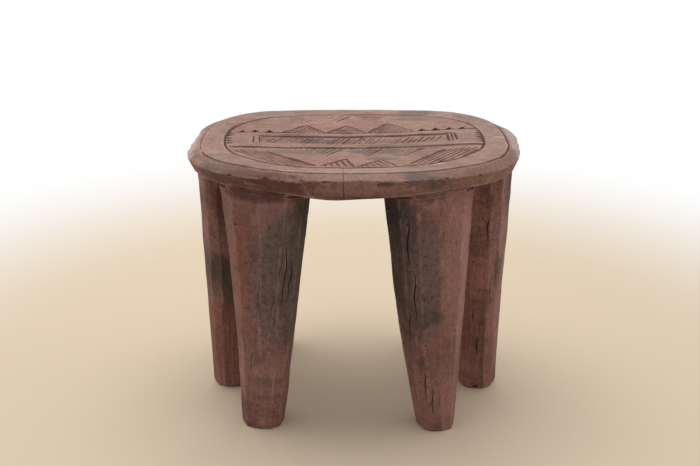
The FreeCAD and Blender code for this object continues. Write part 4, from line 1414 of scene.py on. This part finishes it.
SEAT_LOOK = Look(
    mottles=(
        ("ochre", 55.0, 1.0, 0.0, 0.7), ("ash", 80.0, 1.0, -0.02, 0.6),
        ("grime", 120.0, 0.35, -0.03, 0.65), ("grime", 190.0, 1.0, -0.03, 0.55),
        ("pale", 260.0, 0.6, -0.12, 0.5), ("dirt", 300.0, 0.6, -0.14, 0.65),
    ),
    patches=(
        ("ochre", (0, -136, 312), (170, 12, 7), 0.45),
        ("dust", (10, -116, 312), (110, 10, 8), 0.6),
        ("grime", (74, 112, 313), (30, 16, 20), 0.85),
        ("grime", (69, 82, 313), (34, 8, 20), 0.8),
        ("grime", (70, 98, 313), (34, 10, 20), 0.4),
        ("ochre", (-70, -118, 312), (60, 10, 8), 0.35),
        ("bark", (-10, -4, 313), (125, 17, 20), 0.5),
        ("grime", (-62, 4, 313), (26, 7, 20), 0.5),
        ("grime", (22, -2, 313), (30, 8, 20), 0.5),
        ("grime", (11, -49, 313), (24, 12, 20), 1.0),
        ("grime", (37, -49, 313), (21, 12, 20), 1.0),
        ("grime", (40, -27, 313), (40, 8, 20), 0.8),
        ("grime", (80, -36, 313), (22, 9, 20), 0.9),
        ("grime", (29, -75, 313), (20, 8, 20), 0.9),
        ("grime", (52, -62, 313), (16, 7, 20), 0.7),
        ("grime", (-60, -52, 313), (50, 10, 20), 0.7),
        ("grime", (-124, 72, 313), (26, 10, 20), 0.6),
        ("grime", (-148, -68, 313), (24, 6, 20), 0.55),
        ("ochre", (-95, 68, 313), (26, 8, 20), 0.6),
        ("ochre", (-150, 90, 313), (30, 30, 20), 0.5),
        ("terracotta", (-174, 10, 312), (5, 66, 10), 0.6),
        ("pale", (-188, 2, 307), (12, 90, 14), 1.0),
        ("pale", (185, 10, 308), (9, 78, 10), 0.7),
        ("pale", (92, -96, 313), (9, 3, 8), 0.8),
        ("pale", (168, 4, 313), (12, 3, 8), 0.8),
        ("pale", (-74, -118, 311), (10, 3, 6), 0.6),
        ("pale", (-82, -133, 308), (9, 8, 3), 0.9),
        ("slate", (66, -133, 311), (18, 14, 8), 0.95),
        ("olive", (86, -136, 303), (18, 16, 11), 0.9),
        ("bark", (-95, -130, 301), (80, 28, 13), 1.0),
        ("smoke_and_shade", (-108, -125, 303), (20, 10, 4), 0.6),
        ("smoke_and_shade", (-66, -132, 305), (10, 10, 3), 0.7),
        # Painted shade along the rim's lower edge between the front legs.
        ("bark", (0, -136, 292), (90, 14, 5), 0.45),
        ("bark", (-150, -98, 300), (36, 34, 9), 0.95),
        ("dirt", (-100, -128, 294), (70, 22, 6), 0.4),
        ("dirt", (-150, -98, 299), (36, 36, 9), 0.4),
        ("dirt", (-86, -132, 303), (70, 20, 7), 0.35),
        ("rosy", (5, -137, 299), (62, 12, 10), 0.6),
        ("slate", (10, -137, 299), (62, 12, 10), 0.25),
        # Painted shade along the rim's rolled lower edge between the front legs.
        ("soot", (-8, -134, 286), (75, 14, 4), 0.85),
        ("pale", (-70, -137, 307), (7, 8, 2), 0.7),
        ("pale", (-60, -137, 306), (5, 8, 1.5), 0.6),
        ("pale", (48, -138, 308), (9, 8, 2), 0.6),
        ("bark", (-112, -120, 309), (62, 30, 5), 0.45),
        ("smoke_and_shade", (32, -138, 304), (9, 8, 3), 0.95),
        ("olive", (-158, -88, 308), (12, 22, 5), 0.6),
    ),
    crackles=(
        ((-70, -132, 298), (95, 26, 13), 0.85), ((70, -132, 298), (70, 26, 13), 0.6),
        ((-95, -126, 310), (50, 22, 5), 0.6),
    ),
    dust=0.5, sides=0.3, flecks=0.22, run=1.0, wear=0.55, pores=0.65, cuts="dirt",
)


def setting_names(settings):
    """Names of the settings that a group was given."""
    return [name for name in settings.bl_rna.properties.keys() if name not in ("rna_type", "name")]


def finish_colours(settings):
    """The finish's colours by name, in the form that nodes take."""
    return {name: (*getattr(settings, name), 1.0) for name in setting_names(settings)}


def settle(piece, node, material):
    """Give a finished piece its material and its place in the frame."""
    piece.data.materials.clear()
    piece.data.materials.append(material)
    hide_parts(node)
    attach(piece, "root")


# The stage

FLOOR_RADIUS = 6000.0
# Distances from the stool, in metres, between which the floor fades to white.
FADE_START, FADE_END = 0.45, 1.0
# The soft light in front of the stool and behind it, as a share of its strength.
SKY_FRONT, SKY_BACK = 0.42, 1.3
# Places of the lamp and the camera and the lamp's size in metres, and the camera's sensor in millimetres.
LAMP_PLACE = (-0.2, 0.5, 1.7)
LAMP_SIZE = 1.6
CAMERA_PLACE = (-0.005, -1.2743, 0.6892)
CAMERA_TILT = math.radians(68.89)
SENSOR_WIDTH = 36.0


def make_floor(settings):
    """Pale floor that fades to white away from the stool."""
    bm = bmesh.new()
    bmesh.ops.create_circle(bm, segments=96, radius=FLOOR_RADIUS, cap_ends=True)
    floor = add_object(bm, "floor")
    material = bpy.data.materials.new("floor")
    material.use_nodes = True
    tree = material.node_tree
    tree.nodes.clear()
    place = put(tree, "ShaderNodeTexCoord").outputs["Object"]
    distance = vector_length(tree, place)
    matt = put(tree, "ShaderNodeBsdfDiffuse", {"Color": (*settings.floor, 1.0)})
    white = put(tree, "ShaderNodeEmission", {"Color": (1, 1, 1, 1), "Strength": 1.0})
    far = maths(tree, "MULTIPLY", spread(tree, distance, FADE_START, FADE_END), seen_rays(tree))
    surface = put(tree, "ShaderNodeMixShader", {0: far, 1: matt.outputs[0], 2: white.outputs[0]})
    put(tree, "ShaderNodeOutputMaterial", {"Surface": surface.outputs[0]})
    floor.data.materials.append(material)


def seen_rays(tree):
    """1 for rays that show the background: from the camera, off gloss or through glass."""
    path = put(tree, "ShaderNodeLightPath").outputs
    seen = maths(tree, "MAXIMUM", path["Is Camera Ray"], path["Is Glossy Ray"])
    return maths(tree, "MAXIMUM", seen, path["Is Transmission Ray"])


def make_light(settings):
    """Soft light from all round, white where it is seen, and a wide lamp overhead."""
    world = bpy.data.worlds.new("studio")
    world.use_nodes = True
    tree = world.node_tree
    tree.nodes.clear()
    direction = put(tree, "ShaderNodeTexCoord").outputs["Generated"]
    backward = put(tree, "ShaderNodeSeparateXYZ", {0: direction}).outputs[1]
    soft = spread(tree, backward, -1.0, 0.3, SKY_FRONT * settings.sky, SKY_BACK * settings.sky)
    strength = put(tree, "ShaderNodeMix", {0: seen_rays(tree), 2: soft, 3: 1.0}).outputs[0]
    background = put(tree, "ShaderNodeBackground", {"Color": (1, 1, 1, 1), "Strength": strength})
    put(tree, "ShaderNodeOutputWorld", {"Surface": background.outputs[0]})
    bpy.context.scene.world = world
    data = bpy.data.lights.new("overhead", "AREA")
    data.shape = "DISK"
    data.size = LAMP_SIZE
    data.energy = settings.lamp
    link_object("overhead", data).location = LAMP_PLACE


def make_camera(settings):
    """Camera at the height and distance that the stool was seen from."""
    data = bpy.data.cameras.new("camera")
    data.lens = settings.lens
    data.sensor_width = SENSOR_WIDTH
    data.sensor_fit = "HORIZONTAL"
    camera = link_object("camera", data)
    camera.location = CAMERA_PLACE
    camera.rotation_euler = (CAMERA_TILT, 0.0, 0.0)
    bpy.context.scene.camera = camera


# Settings

def colour_setting(name, description, default):
    """Property for a colour."""
    return FloatVectorProperty(name=name, description=description, default=default, subtype="COLOR", size=3)


def length_setting(name, description, default):
    """Property for a length in metres."""
    return FloatProperty(
        name=name, description=description, default=default, subtype="DISTANCE", unit="LENGTH",
    )


class SeatSettings(bpy.types.PropertyGroup):
    """Sizes of the seat's carving"""
    knife_width: FloatProperty(
        name="Cut width", description="Width of the knife cuts, as a factor",
        default=1.0, min=0.3, max=2.0,
    )
    knife_depth: FloatProperty(
        name="Cut depth", description="Depth of a cut, as a share of its width",
        default=0.75, min=0.3, max=1.2,
    )


class LegSettings(bpy.types.PropertyGroup):
    """Sizes of the legs' tool work"""
    facets: IntProperty(name="Facets", description="Long hewn facets around a leg", default=10, min=6, max=18)
    cracks: IntProperty(name="Cracks", description="Drying checks in each leg", default=6, min=0, max=12)
    nicks: IntProperty(name="Nicks", description="Gouges scattered over each leg", default=7, min=0, max=40)
    tool_marks: length_setting("Tool marks", "Height of the tool marks", 0.0006)
    foot_wear: length_setting("Foot wear", "Radius of the worn lower edge", 0.003)


class FinishSettings(bpy.types.PropertyGroup):
    """Colours of the wood"""
    seat_pale: colour_setting("Seat, pale", "Paler wood of the seat", (0.33, 0.185, 0.142))
    seat_deep: colour_setting("Seat, deep", "Deeper wood of the seat", (0.19, 0.09, 0.066))
    seat_field: colour_setting("Seat, oval", "Tint of the wood inside the incised oval", (0.98, 0.86, 0.83))
    leg_pale: colour_setting("Legs, pale", "Paler wood of the legs", (0.315, 0.144, 0.119))
    leg_deep: colour_setting("Legs, deep", "Deeper wood of the legs", (0.19, 0.078, 0.062))
    # Dust on faces that point up, also painted light that makes them paler than the sides.
    dust: colour_setting("Dust", "Dust on surfaces that face up", (0.38, 0.255, 0.205))
    # Pale rubbed edges, also a painted highlight along edges and the lips of cuts.
    rubbed: colour_setting("Rubbed edges", "Pale rubbed edges", (0.48, 0.32, 0.265))
    pale: colour_setting("Scuffs", "Pale scuffs", (0.5, 0.39, 0.35))
    ochre: colour_setting("Seat, ochre", "Redder patches of the seat", (0.35, 0.16, 0.118))
    terracotta: colour_setting("Terracotta", "Red streak at the seat's end", (0.43, 0.185, 0.135))
    leg_ochre: colour_setting("Legs, ochre", "Redder patches of the legs", (0.25, 0.095, 0.07))
    # Rosy rubbed wood, also painted light on the legs' outer sides.
    rosy: colour_setting("Rosy", "Rosy rubbed wood", (0.37, 0.188, 0.168))
    ash: colour_setting("Ash", "Greyish powder", (0.36, 0.265, 0.22))
    grime: colour_setting("Grime", "Greyish stains of the seat", (0.15, 0.108, 0.086))
    slate: colour_setting("Slate", "Purplish grey patches", (0.145, 0.103, 0.102))
    olive: colour_setting("Olive", "Olive grey patches", (0.098, 0.075, 0.058))
    # Smoky patches, also painted shade on the right leg under the rim.
    smoke_and_shade: colour_setting("Smoke", "Smoky patches", (0.066, 0.045, 0.037))
    # Nearly black hollows and cracks, also painted shade under the rim and on the front legs' inner sides.
    soot: colour_setting("Soot", "Nearly black hollows and cracks", (0.02, 0.013, 0.01))
    bark: colour_setting("Bark", "Dark red wood of the rim and in deep shade", (0.125, 0.05, 0.041))
    # Dirt in cuts and pores, also painted shade under the rim and on the legs' inner sides.
    dirt: colour_setting("Dirt", "Dirt in cuts and pores", (0.082, 0.028, 0.02))


class StageSettings(bpy.types.PropertyGroup):
    """Floor, light and camera"""
    floor: colour_setting("Floor", "Colour of the floor", (0.73, 0.605, 0.45))
    sky: FloatProperty(
        name="Soft light", description="Strength of the light from all round", default=0.74, min=0.0,
    )
    lamp: FloatProperty(
        name="Overhead light", description="Power of the soft overhead lamp",
        default=12.0, min=0.0, subtype="POWER", unit="POWER",
    )
    lens: FloatProperty(
        name="Lens", description="Focal length of the camera",
        default=59.14, subtype="DISTANCE_CAMERA", unit="CAMERA",
    )


# Operators

class STOOL_OT_make_seat(bpy.types.Operator):
    """Model the seat slab, carve its pattern and finish its wood"""
    bl_idname = "stool.make_seat"
    bl_label = "Make seat"

    def execute(self, context):
        settings = context.scene.stool_seat
        finish = finish_colours(context.scene.stool_finish)
        seat = add_object(seat_blank(), "carved_seat")
        tree = surface_tree(seat)
        cut_away(seat, add_object(carving_cutter(settings), "seat_cutter"))
        mark_surface(seat, tree, SEAT_CUT, SEAT_EDGE, panel_sink)
        mark_field(seat)
        shade(seat, SEAT_CREASE)
        wood = wood_material("seat_wood", "seat", finish, SEAT_LOOK, seat_tone(finish["seat_field"]))
        settle(seat, "seat", wood)
        return {"FINISHED"}


class STOOL_OT_make_legs(bpy.types.Operator):
    """Model the six hewn legs with their tenons and finish their wood"""
    bl_idname = "stool.make_legs"
    bl_label = "Make legs"

    def execute(self, context):
        settings = context.scene.stool_legs
        finish = finish_colours(context.scene.stool_finish)
        wood = wood_material("leg_wood", "leg", finish, LEG_LOOK, leg_tone(finish["smoke_and_shade"]))
        for name in LEGS:
            leg = add_object(leg_blank(name, settings), f"hewn_leg_{name}")
            tree = surface_tree(leg)
            cracks = bmesh.new()
            cracks.from_mesh(crack_mesh(leg_cracks(name, settings)))
            bmesh.ops.remove_doubles(cracks, verts=cracks.verts, dist=CAP_GAP)
            add_nicks(cracks, name, settings)
            cut_away(leg, add_object(cracks, "leg_cutter"))
            mark_surface(leg, tree, LEG_CUT, LEG_EDGE)
            mark_facets(leg, name, settings)
            shade(leg, LEG_CREASE)
            settle(leg, f"leg_{name}", wood)
        return {"FINISHED"}


class STOOL_OT_make_stage(bpy.types.Operator):
    """Set the pale floor, the soft light and the camera"""
    bl_idname = "stool.make_stage"
    bl_label = "Make stage"

    def execute(self, context):
        settings = context.scene.stool_stage
        make_floor(settings)
        make_light(settings)
        make_camera(settings)
        context.scene.view_settings.view_transform = "Standard"
        return {"FINISHED"}


class STOOL_PT_panel(bpy.types.Panel):
    """Stool settings and makers"""
    bl_label = "Carved stool"
    bl_idname = "STOOL_PT_panel"
    bl_space_type = "VIEW_3D"
    bl_region_type = "UI"
    bl_category = "Stool"

    def draw(self, context):
        for group, operator in (
            (context.scene.stool_seat, "stool.make_seat"),
            (context.scene.stool_legs, "stool.make_legs"),
            (context.scene.stool_finish, None),
            (context.scene.stool_stage, "stool.make_stage"),
        ):
            box = self.layout.box()
            for name in setting_names(group):
                box.prop(group, name)
            if operator:
                box.operator(operator)


CLASSES = (
    SeatSettings, LegSettings, FinishSettings, StageSettings,
    STOOL_OT_make_seat, STOOL_OT_make_legs, STOOL_OT_make_stage, STOOL_PT_panel,
)


def register():
    for item in CLASSES:
        bpy.utils.register_class(item)
    bpy.types.Scene.stool_seat = PointerProperty(type=SeatSettings)
    bpy.types.Scene.stool_legs = PointerProperty(type=LegSettings)
    bpy.types.Scene.stool_finish = PointerProperty(type=FinishSettings)
    bpy.types.Scene.stool_stage = PointerProperty(type=StageSettings)


def unregister():
    for name in ("stool_seat", "stool_legs", "stool_finish", "stool_stage"):
        delattr(bpy.types.Scene, name)
    for item in reversed(CLASSES):
        bpy.utils.unregister_class(item)


def main():
    register()
    bpy.ops.stool.make_seat()
    bpy.ops.stool.make_legs()
    bpy.ops.stool.make_stage()


if __name__ == "__main__":
    main()
